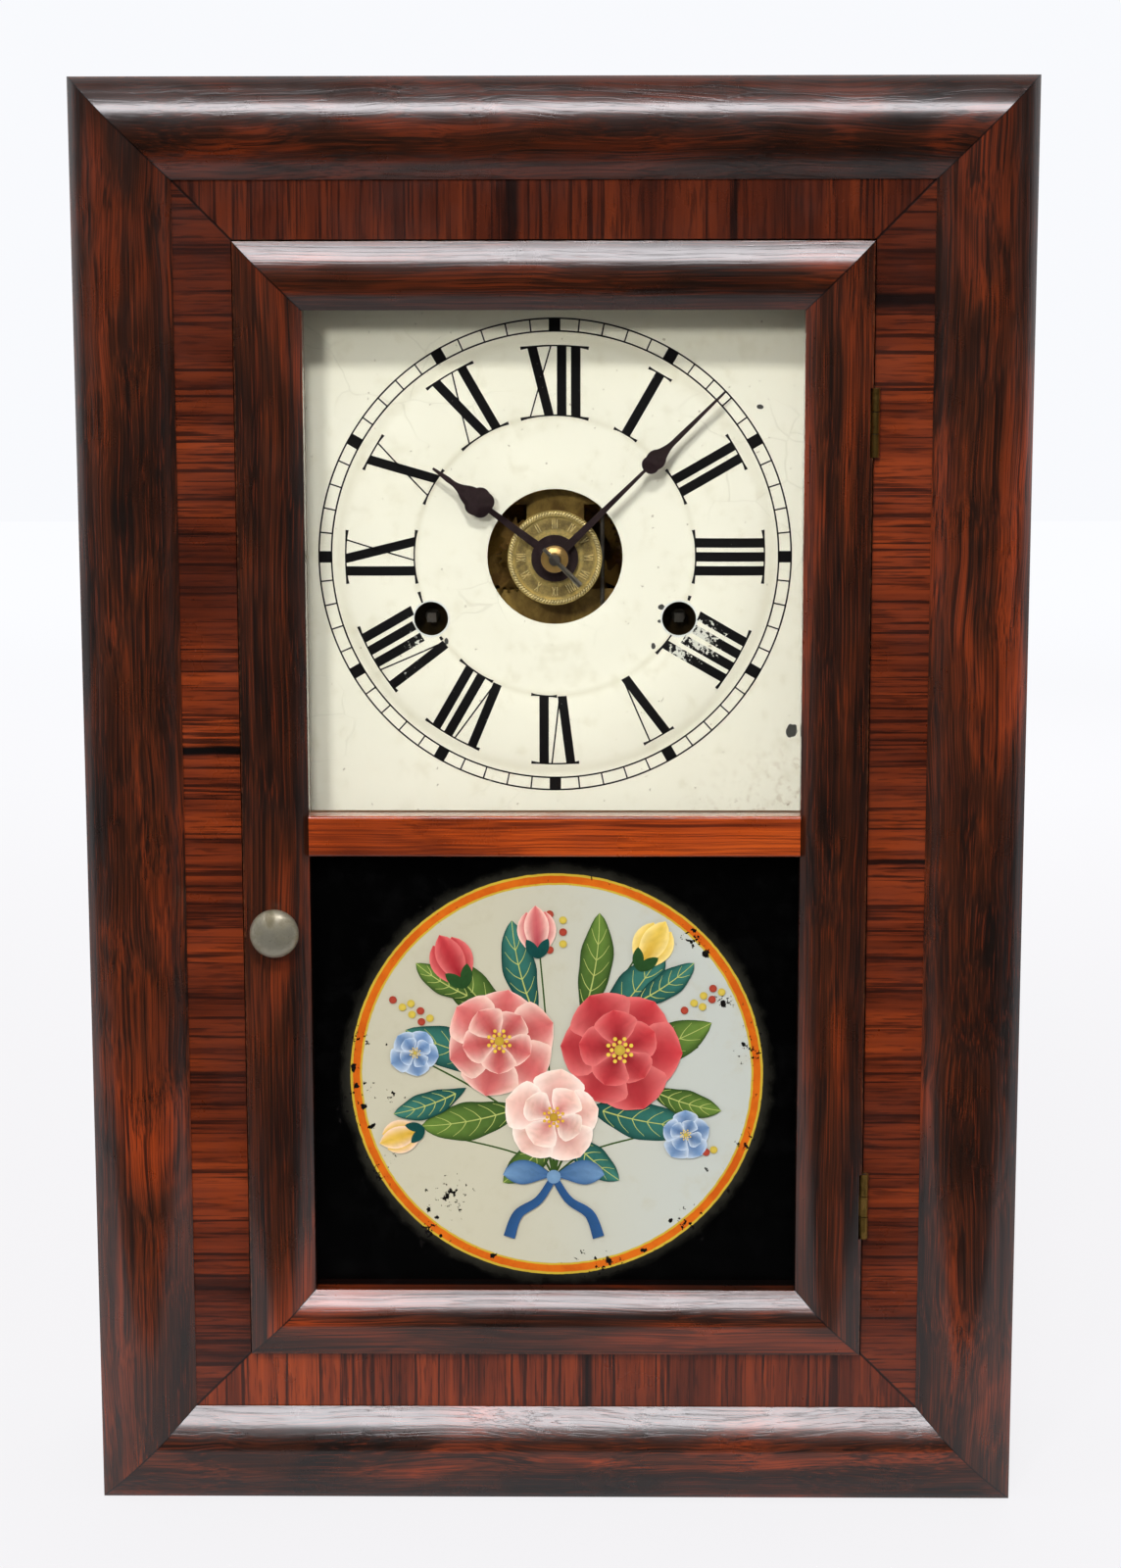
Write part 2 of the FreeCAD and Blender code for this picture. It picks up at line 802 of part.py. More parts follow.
def make_dial():
    """The sheet metal dial with its open centre, pressed ring and winding holes, and its two battens."""
    body = new_body("dial_plate")
    plain = sketch_on(body, "XY_Plane", "sheet", lift=-S.dial_thickness)
    half_sheet = S.dial_width / 2
    draw_rectangle(plain, (-half_sheet, -S.dial_height / 2), (half_sheet, S.dial_height / 2))
    pad(plain, S.dial_thickness)
    ring = sketch_on(body, "XZ_Plane", "pressed_ring")
    ring_width = S.dial_ring_outer - S.dial_ring_inner
    corners = [
        (S.dial_ring_inner + ring_width * out, S.dial_ring_height * up)
        for out, up in DIAL_RING_SHARES
    ]
    corners += [(S.dial_ring_outer, -S.dial_thickness), (S.dial_ring_inner, -S.dial_thickness)]
    draw_outline(ring, corners)
    revolve(ring)
    holes = sketch_on(body, "XY_Plane", "holes")
    draw_circle(holes, S.dial_hole_radius)
    for side in (-1, 1):
        draw_circle(holes, S.winding_hole_radius, S.winding_across * side, -S.winding_below)
    pocket(holes)
    node(place(body, 0, dial_y, S.dial_middle, FACING_FRONT))
    inner = half_sheet - S.dial_lap
    top = S.case_height - S.end_thickness
    battens = []
    for label, start in (("left_batten", -inner - S.batten_width), ("right_batten", inner)):
        low = (start, dial_back_y, S.end_thickness)
        battens.append(board(label, low, (start + S.batten_width, dial_back_y + S.batten_thickness, top)))
    group("dial_battens", battens)


# Levels of the hand stack, measured forward from the band plane's axis frame, along -Y.
hour_pipe_bore = S.centre_arbor_radius + S.running_gap
hour_pipe_radius = hour_pipe_bore + S.pipe_wall
alarm_bore = hour_pipe_radius + S.running_gap
alarm_disc_lift = S.hand_gap * 2 + S.dial_ring_height
hour_hand_lift = alarm_disc_lift + S.alarm_disc_thickness + S.alarm_rim_height + S.hand_gap
minute_hand_lift = hour_hand_lift + S.hand_thickness + S.hand_gap * 2
washer_lift = minute_hand_lift + S.hand_thickness
pin_lift = washer_lift + S.washer_height + S.hand_pin_radius * 0.8
arbor_front_lift = pin_lift + S.hand_pin_radius * 2
plate_front_lift = -(S.dial_thickness + S.plate_setback)
plate_inner_lift = plate_front_lift - S.plate_thickness
back_plate_lift = plate_inner_lift - S.plate_gap
back_plate_outer_lift = back_plate_lift - S.plate_thickness
hour_wheel_lift = -S.dial_thickness - S.plate_setback * 0.42
motion_lift = plate_front_lift + S.end_gap


def hand(label, length, boss, bore, shares, lift, turn):
    """A hand cut from sheet: a round boss, a slim stem, a pear-shaped swelling and a fine tip."""
    body = new_body(label)
    stem = sketch_on(body, "XY_Plane", "stem", lift=lift, turn=turn)
    right = [(boss * across, length * along, bow) for along, across, bow in shares]
    bows_going_back = [bow for _, _, bow in shares[-2::-1]] + [0.0]
    left = [
        (-boss * across, length * along, bow)
        for (along, across, _), bow in zip(shares[::-1], bows_going_back)
    ]
    draw_outline(stem, right + left)
    pad(stem, S.hand_thickness)
    disc = sketch_on(body, "XY_Plane", "boss", lift=lift)
    draw_circle(disc, boss)
    pad(disc, S.hand_thickness)
    hole = sketch_on(body, "XY_Plane", "bore", lift=lift)
    draw_circle(hole, bore)
    pocket(hole)
    return node(place(body, 0, dial_y, S.dial_middle, FACING_FRONT))


def make_hands():
    """Hour and minute hands, the domed washer, the taper pin and the alarm setting disc."""
    hand(
        "hour_hand", S.hour_hand_length, S.hour_boss_radius, hour_pipe_radius,
        HOUR_HAND_SHARES, hour_hand_lift, S.hour_hand_turn,
    )
    hand(
        "minute_hand", S.minute_hand_length, S.minute_boss_radius, S.centre_arbor_radius,
        MINUTE_HAND_SHARES, minute_hand_lift, S.minute_hand_turn,
    )
    washer = new_body("hand_washer")
    half = sketch_on(washer, "XZ_Plane", "half_section")
    bore = S.centre_arbor_radius
    top = washer_lift + S.washer_height
    corners = [
        (bore, washer_lift),
        (S.washer_radius, washer_lift),
        (S.washer_radius * 0.78, washer_lift + S.washer_height * 0.6),
        (bore * 1.3, top),
        (bore, top),
    ]
    draw_outline(half, corners)
    revolve(half)
    node(place(washer, 0, dial_y, S.dial_middle, FACING_FRONT))
    make_hand_pin()
    make_alarm_disc()


def make_hand_pin():
    """The steel taper pin through the tip of the centre arbor, its thick end to the lower right."""
    pin = new_body("hand_pin")
    half = sketch_on(pin, "XY_Plane", "half_section", turn=S.hand_pin_turn)
    start = -S.hand_pin_length * 0.3
    end = start + S.hand_pin_length
    thick = S.hand_pin_radius
    corners = [(start, 0), (end, 0), (end, thick), (start, thick * 0.6)]
    draw_outline(half, corners)
    feature = pin.newObject("PartDesign::Revolution", "hand_pin_turned")
    feature.Profile = half
    feature.ReferenceAxis = (half, ["H_Axis"])
    feature.Angle = FULL_TURN
    node(place(pin, 0, dial_y - pin_lift, S.dial_middle, FACING_FRONT))


def make_alarm_disc():
    """The brass disc that sets the alarm: a rim, an inner ring and a hub that grips the hour pipe."""
    body = new_body("alarm_disc")
    half = sketch_on(body, "XZ_Plane", "half_section")
    low = alarm_disc_lift
    face = low + S.alarm_disc_thickness
    rim = face + S.alarm_rim_height
    outer = S.alarm_disc_radius
    corners = [
        (alarm_bore, low),
        (outer, low),
        (outer, rim),
        (outer - S.alarm_rim_width, rim),
        (outer - S.alarm_rim_width, face),
        (S.alarm_hub_radius, face),
        (S.alarm_hub_radius, rim),
        (alarm_bore, rim),
    ]
    draw_outline(half, corners)
    revolve(half)
    node(place(body, 0, dial_y, S.dial_middle, FACING_FRONT))


# Arbor places on the plates, from the centre arbor: across to the right and up.
CENTRE = (as_size(0), as_size(0))
TIME_WINDING = (S.winding_across, -S.winding_below)
STRIKE_WINDING = (-S.winding_across, -S.winding_below)
arbors = {
    name: (S.plate_width * across, S.plate_top * up)
    for name, (across, up) in ARBOR_SHARES.items()
}


def level(name):
    """How far forward a wheel's back face lies, from its share of the gap between the plates."""
    return plate_inner_lift - S.plate_gap * LEVEL_SHARES[name]


def module_of(wheel_spot, wheel_teeth, pinion_spot, pinion_leaves):
    """The module that puts a wheel and a pinion in mesh at the distance between their arbors."""
    return distance(wheel_spot, pinion_spot) * 2 / (wheel_teeth + pinion_leaves)


def cut_teeth(body, name, count, module, tooth, lift, length, turn):
    """Cut one tapered gap, its middle at the given angle, and repeat it round."""
    root_share, tip_share = tooth
    pitch_radius = module * count / 2
    floor = pitch_radius - module * DEDENDUM_SHARE
    beyond = pitch_radius + module * ADDENDUM_SHARE + S.overrun
    slimming = (root_share - tip_share) / (ADDENDUM_SHARE + DEDENDUM_SHARE)
    thick_at_floor = module * root_share
    thick_beyond = thick_at_floor - (beyond - floor) * slimming
    half_step = half_pitch(count)
    floor_half = floor * tangent(half_step) - thick_at_floor / cosine(half_step)
    beyond_half = beyond * tangent(half_step) - thick_beyond / cosine(half_step)
    gap = sketch_on(body, "XY_Plane", f"{name}_gap", lift=lift, turn=turn)
    corners = [(floor, -floor_half), (beyond, -beyond_half), (beyond, beyond_half), (floor, floor_half)]
    draw_outline(gap, corners)
    repeat_round(pocket(gap, length), count)


def toothed_disc(body, name, count, module, lift, length, turn, tooth=TOOTH_SHARES):
    """A disc with teeth round it."""
    blank = sketch_on(body, "XY_Plane", f"{name}_blank", lift=lift)
    draw_circle(blank, module * count / 2 + module * ADDENDUM_SHARE)
    pad(blank, length)
    cut_teeth(body, name, count, module, tooth, lift, length, turn)


def cross_out(body, rim_radius, lift):
    """Cut the windows that leave a wheel its spokes."""
    window = sketch_on(body, "XY_Plane", "crossing", lift=lift)
    inner = rim_radius * 0.34
    outer = rim_radius * 0.97
    corners = [
        (inner, -inner * 0.62),
        (outer * 0.72, -outer * 0.60),
        (outer, 0),
        (outer * 0.72, outer * 0.60),
        (inner, inner * 0.62),
    ]
    draw_outline(window, corners)
    repeat_round(pocket(window, S.wheel_thickness), S.crossings)


def arbor_rod(body, radius, back, front):
    """The round arbor along the body's axis."""
    rod = sketch_on(body, "XY_Plane", "arbor", lift=back)
    draw_circle(rod, radius)
    pad(rod, front - back)


def half_pitch(count):
    """Half the angle from one tooth to the next."""
    return as_size(FULL_TURN) / count / 2


def train_wheel(label, spot, wheel, pinion, radius=None, back=None, front=None):
    """A wheel and its pinion on one arbor, each turned so that it is in mesh as it stands."""
    body = new_body(label)
    count, mate, mate_count, lift = wheel
    module = module_of(spot, count, mate, mate_count)
    toothed_disc(body, "wheel", count, module, lift, S.wheel_thickness, heading(spot, mate))
    cross_out(body, module * count / 2 - module * (DEDENDUM_SHARE + RIM_SHARE), lift)
    leaf_count, driver, driver_count, leaf_lift = pinion
    leaf_module = module_of(driver, driver_count, spot, leaf_count)
    turn = heading(spot, driver) + half_pitch(leaf_count)
    start = leaf_lift - (S.pinion_length - S.wheel_thickness) / 2
    toothed_disc(body, "pinion", leaf_count, leaf_module, start, S.pinion_length, turn, tooth=LEAF_SHARES)
    arbor_rod(body, radius or S.arbor_radius, back or back_plate_outer_lift, front or plate_front_lift)
    return node(place(body, spot[0], dial_y, S.dial_middle + spot[1], FACING_FRONT))


def great_wheel(label, winding_spot, teeth, mate):
    """A great wheel, free to turn on its winding arbor."""
    body = new_body(label)
    module = module_of(winding_spot, teeth, mate, S.train_leaves)
    lift = level("great")
    toothed_disc(body, "wheel", teeth, module, lift, S.wheel_thickness, heading(winding_spot, mate))
    bore = sketch_on(body, "XY_Plane", "bore", lift=lift)
    draw_circle(bore, S.winding_arbor_radius + S.running_gap)
    pocket(bore)
    cross_out(body, module * teeth / 2 - module * (DEDENDUM_SHARE + RIM_SHARE), lift)
    return node(place(body, winding_spot[0], dial_y, S.dial_middle + winding_spot[1], FACING_FRONT))


def winding_arbor(label, winding_spot):
    """A stout arbor with a square end for the key, just short of the dial's hole."""
    body = new_body(label)
    arbor_rod(body, S.winding_arbor_radius, back_plate_lift + S.end_gap, plate_inner_lift - S.end_gap)
    for name, low, high in (
        ("front_pivot", plate_inner_lift - S.end_gap, plate_front_lift + S.end_gap),
        ("back_pivot", back_plate_outer_lift, back_plate_lift + S.end_gap),
    ):
        pivot = sketch_on(body, "XY_Plane", name, lift=low)
        draw_circle(pivot, S.winding_square * 0.75)
        pad(pivot, high - low)
    square = sketch_on(body, "XY_Plane", "square", lift=plate_front_lift + S.end_gap)
    half = S.winding_square / 2
    draw_rectangle(square, (-half, -half), (half, half))
    pad(square, -S.winding_setback - plate_front_lift - S.end_gap)
    return node(place(body, winding_spot[0], dial_y, S.dial_middle + winding_spot[1], FACING_FRONT))


def make_time_train():
    """Great wheel, second wheel, centre wheel, third wheel and escape wheel, each with its pinion."""
    winding_arbor("time_winding_arbor", TIME_WINDING)
    great_wheel("time_great_wheel", TIME_WINDING, S.time_great_teeth, arbors["time_second"])
    train_wheel(
        "time_second_wheel", arbors["time_second"],
        (S.time_second_teeth, CENTRE, S.train_leaves, level("time_second")),
        (S.train_leaves, TIME_WINDING, S.time_great_teeth, level("great")),
    )
    centre = train_wheel(
        "centre_wheel", CENTRE,
        (S.centre_teeth, arbors["third"], S.escape_leaves, level("centre")),
        (S.train_leaves, arbors["time_second"], S.time_second_teeth, level("time_second")),
        radius=S.arbor_radius + S.running_gap + S.pipe_wall,
        back=level("centre"),
        front=level("time_second") + S.wheel_thickness,
    )
    bore = sketch_on(centre, "XY_Plane", "bore")
    draw_circle(bore, S.arbor_radius + S.running_gap)
    pocket(bore)
    make_centre_arbor()
    train_wheel(
        "third_wheel", arbors["third"],
        (S.third_teeth, arbors["escape"], S.escape_leaves, level("third")),
        (S.escape_leaves, CENTRE, S.centre_teeth, level("centre")),
    )
    make_escape_wheel()


def make_centre_arbor():
    """The arbor that carries the hands; the centre wheel drives it through a spring collar and can slip."""
    body = new_body("centre_arbor")
    arbor_rod(body, S.arbor_radius, back_plate_outer_lift, plate_front_lift)
    collar = sketch_on(body, "XY_Plane", "spring_collar", lift=level("centre") - S.running_gap - S.pipe_wall)
    draw_circle(collar, S.pillar_radius)
    pad(collar, S.pipe_wall)
    front = sketch_on(body, "XY_Plane", "hand_arbor", lift=plate_front_lift)
    draw_circle(front, S.centre_arbor_radius)
    pad(front, arbor_front_lift - plate_front_lift)
    node(place(body, 0, dial_y, S.dial_middle, FACING_FRONT))


def make_escape_wheel():
    """The escape wheel in front of the front plate, with slanted pointed teeth."""
    spot = arbors["escape"]
    body = new_body("escape_wheel")
    lift = plate_front_lift + S.end_gap * 2
    radius = S.escape_radius
    blank = sketch_on(body, "XY_Plane", "blank", lift=lift)
    draw_circle(blank, radius)
    pad(blank, S.wheel_thickness)
    gap = sketch_on(body, "XY_Plane", "tooth_gap", lift=lift)
    pitch = radius * (2 * math.pi) / S.escape_teeth
    outside = radius + S.overrun
    corners = [
        (radius * 0.84, -pitch * 0.22),
        (outside, -pitch * 0.62),
        (outside, pitch * 0.24),
        (radius * 0.84, pitch * 0.18),
    ]
    draw_outline(gap, corners)
    repeat_round(pocket(gap, S.wheel_thickness), S.escape_teeth)
    cross_out(body, radius * 0.78, lift)
    module = module_of(arbors["third"], S.third_teeth, spot, S.escape_leaves)
    turn = heading(spot, arbors["third"]) + half_pitch(S.escape_leaves)
    start = level("third") - (S.pinion_length - S.wheel_thickness) / 2
    toothed_disc(body, "pinion", S.escape_leaves, module, start, S.pinion_length, turn, tooth=LEAF_SHARES)
    arbor_rod(body, S.arbor_radius, back_plate_outer_lift, lift + S.wheel_thickness + S.end_gap)
    node(place(body, spot[0], dial_y, S.dial_middle + spot[1], FACING_FRONT))


def make_motion_work():
    """Cannon pinion, minute wheel and hour wheel: the hour pipe turns once for twelve of the minute hand."""
    spot = arbors["minute"]
    minute_module = module_of(spot, S.minute_teeth, CENTRE, S.cannon_leaves)
    hour_module = module_of(CENTRE, S.hour_teeth, spot, S.minute_leaves)
    cannon = new_body("cannon_pinion")
    turn = heading(CENTRE, spot) + half_pitch(S.cannon_leaves)
    length = S.wheel_thickness + S.end_gap
    toothed_disc(cannon, "leaf", S.cannon_leaves, minute_module, motion_lift, length, turn, tooth=LEAF_SHARES)
    bore = sketch_on(cannon, "XY_Plane", "bore")
    draw_circle(bore, S.centre_arbor_radius)
    pocket(bore)
    node(place(cannon, 0, dial_y, S.dial_middle, FACING_FRONT))
    wheel = new_body("minute_wheel")
    toothed_disc(
        wheel, "wheel", S.minute_teeth, minute_module, motion_lift, S.wheel_thickness, heading(spot, CENTRE)
    )
    turn = heading(spot, CENTRE) + half_pitch(S.minute_leaves)
    start = motion_lift + S.wheel_thickness
    length = hour_wheel_lift + S.wheel_thickness - start
    toothed_disc(wheel, "pinion", S.minute_leaves, hour_module, start, length, turn, tooth=LEAF_SHARES)
    arbor_rod(wheel, S.arbor_radius, plate_inner_lift, start + length)
    node(place(wheel, spot[0], dial_y, S.dial_middle + spot[1], FACING_FRONT))
    hour = new_body("hour_wheel")
    toothed_disc(
        hour, "wheel", S.hour_teeth, hour_module, hour_wheel_lift, S.wheel_thickness, heading(CENTRE, spot)
    )
    pipe = sketch_on(hour, "XY_Plane", "pipe", lift=hour_wheel_lift)
    draw_circle(pipe, hour_pipe_radius)
    pad(pipe, hour_hand_lift + S.hand_thickness + S.hand_gap / 2 - hour_wheel_lift)
    bore = sketch_on(hour, "XY_Plane", "bore")
    draw_circle(bore, hour_pipe_bore)
    pocket(bore)
    node(place(hour, 0, dial_y, S.dial_middle, FACING_FRONT))


def make_strike_train():
    """Great wheel with its count wheel, second wheel, pin wheel and fly."""
    winding_arbor("strike_winding_arbor", STRIKE_WINDING)
    great_wheel("strike_great_wheel", STRIKE_WINDING, S.strike_teeth, arbors["strike_second"])
    make_count_wheel()
    train_wheel(
        "strike_second_wheel", arbors["strike_second"],
        (S.strike_teeth, arbors["strike_pin"], S.train_leaves, level("strike_second")),
        (S.train_leaves, STRIKE_WINDING, S.strike_teeth, level("great")),
    )
    pin_wheel = train_wheel(
        "strike_pin_wheel", arbors["strike_pin"],
        (S.strike_teeth, arbors["strike_fly"], S.train_leaves, level("strike_pin")),
        (S.train_leaves, arbors["strike_second"], S.strike_teeth, level("strike_second")),
    )
    lifting_pin = sketch_on(pin_wheel, "XY_Plane", "lifting_pin", lift=level("strike_pin"))
    draw_circle(lifting_pin, S.arbor_radius * 0.6, pin_circle_radius, 0)
    repeat_round(pad(lifting_pin, S.wheel_thickness * 3), S.train_leaves)
    make_fly()


def make_count_wheel():
    """The slotted wheel that counts the blows, riveted to the back of the strike great wheel."""
    body = new_body("count_wheel")
    module = module_of(STRIKE_WINDING, S.strike_teeth, arbors["strike_second"], S.train_leaves)
    radius = module * S.strike_teeth / 2 - module * (DEDENDUM_SHARE + 0.6)
    lift = level("great") - S.wheel_thickness
    disc = sketch_on(body, "XY_Plane", "disc", lift=lift)
    draw_circle(disc, radius)
    draw_circle(disc, S.winding_arbor_radius + S.running_gap)
    pad(disc, S.wheel_thickness)
    slot = sketch_on(body, "XY_Plane", "slot", lift=lift)
    half = S.wheel_thickness * 0.6
    draw_rectangle(slot, (radius * 0.86, -half), (radius + S.overrun, half))
    repeat_round(pocket(slot, S.wheel_thickness), S.count_notches)
    spot = STRIKE_WINDING
    node(place(body, spot[0], dial_y, S.dial_middle + spot[1], FACING_FRONT))


pin_wheel_module = module_of(arbors["strike_pin"], S.strike_teeth, arbors["strike_fly"], S.train_leaves)
pin_circle_radius = pin_wheel_module * (S.strike_teeth / 2 - DEDENDUM_SHARE) - S.arbor_radius


def make_fly():
    """The air brake of the strike train: two flat blades on a pinion's arbor."""
    spot = arbors["strike_fly"]
    body = new_body("strike_fly")
    turn = heading(spot, arbors["strike_pin"]) + half_pitch(S.train_leaves)
    start = level("strike_pin") - (S.pinion_length - S.wheel_thickness) / 2
    length = S.pinion_length
    toothed_disc(body, "pinion", S.train_leaves, pin_wheel_module, start, length, turn, tooth=LEAF_SHARES)
    blade = sketch_on(body, "XY_Plane", "blade", lift=level("fly_back"))
    draw_rectangle(blade, (0, -S.spring_strip), (S.plate_width * 0.09, S.spring_strip))
    repeat_round(pad(blade, level("fly_front") - level("fly_back")), S.fly_blades)
    arbor_rod(body, S.arbor_radius, back_plate_outer_lift, plate_front_lift)
    node(place(body, spot[0], dial_y, S.dial_middle + spot[1], FACING_FRONT))


def make_plates():
    """The two brass plates with their windows and pivot holes, pillars, nuts and posts."""
    through_front = {
        name: S.arbor_radius
        for name in ("time_second", "third", "escape", "strike_second", "strike_pin", "strike_fly", "hammer")
    }
    half = S.plate_width / 2
    low = -S.plate_bottom
    plates = [("movement_front_plate", plate_inner_lift), ("movement_back_plate", back_plate_outer_lift)]
    for label, lift in plates:
        body = new_body(label)
        sheet_outline = sketch_on(body, "XY_Plane", "outline", lift=lift)
        draw_rectangle(sheet_outline, (-half, low), (half, S.plate_top))
        pad(sheet_outline, S.plate_thickness)
        windows = sketch_on(body, "XY_Plane", "windows", lift=lift)
        for side in (-1, 1):
            near = S.plate_width * 0.085
            far = S.plate_width * 0.39
            ends = sorted((near * side, far * side), key=lambda size: size.value)
            draw_rectangle(windows, (ends[0], S.plate_top * -0.177), (ends[1], S.plate_top * 0.25))
        pocket(windows)
        holes = sketch_on(body, "XY_Plane", "pivot_holes", lift=lift)
        for name, radius in through_front.items():
            draw_circle(holes, radius + S.running_gap, *arbors[name])
        draw_circle(holes, S.arbor_radius + S.running_gap)
        for spot in (TIME_WINDING, STRIKE_WINDING):
            draw_circle(holes, S.winding_square * 0.75 + S.running_gap, *spot)
        if label == "movement_front_plate":
            draw_circle(holes, S.arbor_radius + S.running_gap, *arbors["minute"])
            draw_circle(holes, S.arbor_radius + S.running_gap, arbors["escape"][0], S.suspension_above)
        else:
            for spot in plate_corners(S.pillar_inset):
                draw_circle(holes, S.pillar_foot_radius, *spot)
        pocket(holes)
        node(place(body, 0, dial_y, S.dial_middle, FACING_FRONT))
    make_pillars()


def make_pillars():
    """Four pillars between the plates, each with a foot to the back board and a nut on the front plate."""
    pillars = []
    nuts = []
    for i, spot in enumerate(plate_corners(S.pillar_inset)):
        pillar = new_body(f"pillar_{i}")
        shaft = sketch_on(pillar, "XY_Plane", "shaft", lift=back_plate_lift)
        draw_circle(shaft, S.pillar_radius)
        pad(shaft, S.plate_gap)
        foot = sketch_on(pillar, "XY_Plane", "foot", lift=dial_y - back_board_y)
        draw_circle(foot, S.pillar_foot_radius)
        pad(foot, back_plate_lift - dial_y + back_board_y)
        pillars.append(place(pillar, spot[0], dial_y, S.dial_middle + spot[1], FACING_FRONT))
        nut = new_body(f"pillar_nut_{i}")
        hexagon = sketch_on(nut, "XY_Plane", "hexagon", lift=plate_front_lift)
        draw_outline(hexagon, hexagon_corners(S.nut_width / math.sqrt(3)))
        pad(hexagon, S.nut_thickness)
        nuts.append(place(nut, spot[0], dial_y, S.dial_middle + spot[1], FACING_FRONT))
    group("movement_pillars", pillars)
    group("pillar_nuts", nuts)


def plate_corners(inset):
    """Four places, each set in by the same amount from two edges of the plates."""
    across = S.plate_width / 2 - inset
    return [(across * side, up) for side in (-1, 1) for up in (S.plate_top - inset, inset - S.plate_bottom)]


def hexagon_corners(radius):
    """Six corners round the axis."""
    angles = [math.radians(step * FULL_TURN / 6) for step in range(6)]
    return [(radius * math.cos(angle), radius * math.sin(angle)) for angle in angles]


def spiral_strip(inner, outer, turns, strip, low, high, side=1, tail=None):
    """A flat spiral of metal strip as a solid, between two levels: short straight runs, clockwise when
    side is 1. A tail is where the outer end's straight run stops, from the spiral's middle."""
    steps = int(round(turns * SPIRAL_SIDES))
    edges = []
    for offset in (-strip / 2, strip / 2):
        run = []
        for step in range(steps + 1):
            share = step / steps
            radius = inner + (outer - inner) * share + offset
            angle = -2 * math.pi * turns * share
            run.append(FreeCAD.Vector(side * radius * math.cos(angle), radius * math.sin(angle), low))
        if tail:
            run.append(FreeCAD.Vector(side * (tail[0] + offset), tail[1], low))
        edges.append(run)
    corners = edges[0] + edges[1][::-1]
    wire = Part.makePolygon(corners + corners[:1])
    return Part.Face(wire).extrude(FreeCAD.Vector(0, 0, high - low))


def coil(label, shape, spot):
    """A wound piece, set by its own shape because no sketch feature draws a spiral strip."""
    piece = doc.addObject("Part::Feature", label)
    piece.Label = label
    piece.Shape = shape
    return place(piece, spot[0], dial_y, S.dial_middle + spot[1], FACING_FRONT)


def make_mainsprings():
    """Two open mainsprings round their winding arbors, each with its outer end looped to a lower pillar."""
    strip = S.spring_strip.value
    inner = (S.winding_arbor_radius + S.spring_strip / 2 + S.end_gap).value
    low = level("spring_back").value
    high = level("spring_front").value
    pillar_x = S.plate_width / 2 - S.pillar_inset - S.winding_across
    tail_x = pillar_x + S.pillar_radius + S.spring_strip / 2 + S.running_gap
    tail_y = S.pillar_inset - S.plate_bottom + S.winding_below
    tail = (tail_x.value, tail_y.value)
    springs = []
    for label, spot, side in (("time_mainspring", TIME_WINDING, 1), ("strike_mainspring", STRIKE_WINDING, -1)):
        turns = S.spring_coil_turns.value
        shape = spiral_strip(inner, S.spring_radius.value, turns, strip, low, high, side, tail)
        springs.append(coil(label, shape, spot))
    group("mainsprings", springs)


def make_gong():
    """The coiled gong on its round base, screwed to the back board."""
    spot = (as_size(0), S.gong_middle - S.dial_middle)
    board_lift = dial_y - back_board_y
    wire_back = board_lift + S.gong_lift
    wire = S.gong_wire.value
    inner = (S.gong_base_radius * 0.5).value
    shape = spiral_strip(
        inner, (S.gong_radius - S.gong_wire / 2).value, S.gong_turns.value, wire,
        wire_back.value, wire_back.value + wire,
    )
    node(coil("gong_coil", shape, spot))
    base = new_body("gong_base")
    foot = sketch_on(base, "XY_Plane", "foot", lift=board_lift)
    draw_circle(foot, S.gong_base_radius)
    pad(foot, S.gong_lift * 0.4)
    stem = sketch_on(base, "XY_Plane", "stem", lift=board_lift)
    draw_circle(stem, S.gong_base_radius * 0.62)
    pad(stem, S.gong_lift)
    node(place(base, spot[0], dial_y, S.dial_middle + spot[1], FACING_FRONT))


def make_hammer():
    """The strike hammer: an arbor through both plates, a tail by the pins, and a long rod to its head."""
    spot = arbors["hammer"]
    body = new_body("strike_hammer")
    rod_lift = back_plate_outer_lift - S.hammer_behind
    radius = S.hammer_rod_radius
    arbor_rod(body, S.arbor_radius, rod_lift - radius, plate_front_lift)
    reach = distance(spot, arbors["strike_pin"]) - pin_circle_radius - S.arbor_radius
    tail = sketch_on(body, "XY_Plane", "tail", lift=level("strike_pin") + S.wheel_thickness * 1.5,
                     turn=heading(spot, arbors["strike_pin"]))
    draw_rectangle(tail, (0, -radius), (reach - S.hand_gap, radius))
    pad(tail, S.wheel_thickness)
    drop = S.dial_middle + spot[1] - S.gong_middle
    hub = sketch_on(body, "XY_Plane", "hub", lift=rod_lift - radius)
    draw_circle(hub, S.arbor_radius * 2)
    pad(hub, radius * 2)
    across = S.gong_radius + S.gong_wire / 2 + S.hammer_gap + S.hammer_head_radius + spot[0]
    stem = sketch_on(body, "XY_Plane", "stem", lift=rod_lift - radius)
    draw_outline(stem, [(-radius, 0), (-across - radius, -drop), (-across + radius, -drop), (radius, 0)])
    pad(stem, radius * 2)
    head = sketch_on(body, "XY_Plane", "head", lift=rod_lift - S.hammer_head_length / 2)
    draw_circle(head, S.hammer_head_radius, -across, -drop)
    pad(head, S.hammer_head_length)
    node(place(body, spot[0], dial_y, S.dial_middle + spot[1], FACING_FRONT))


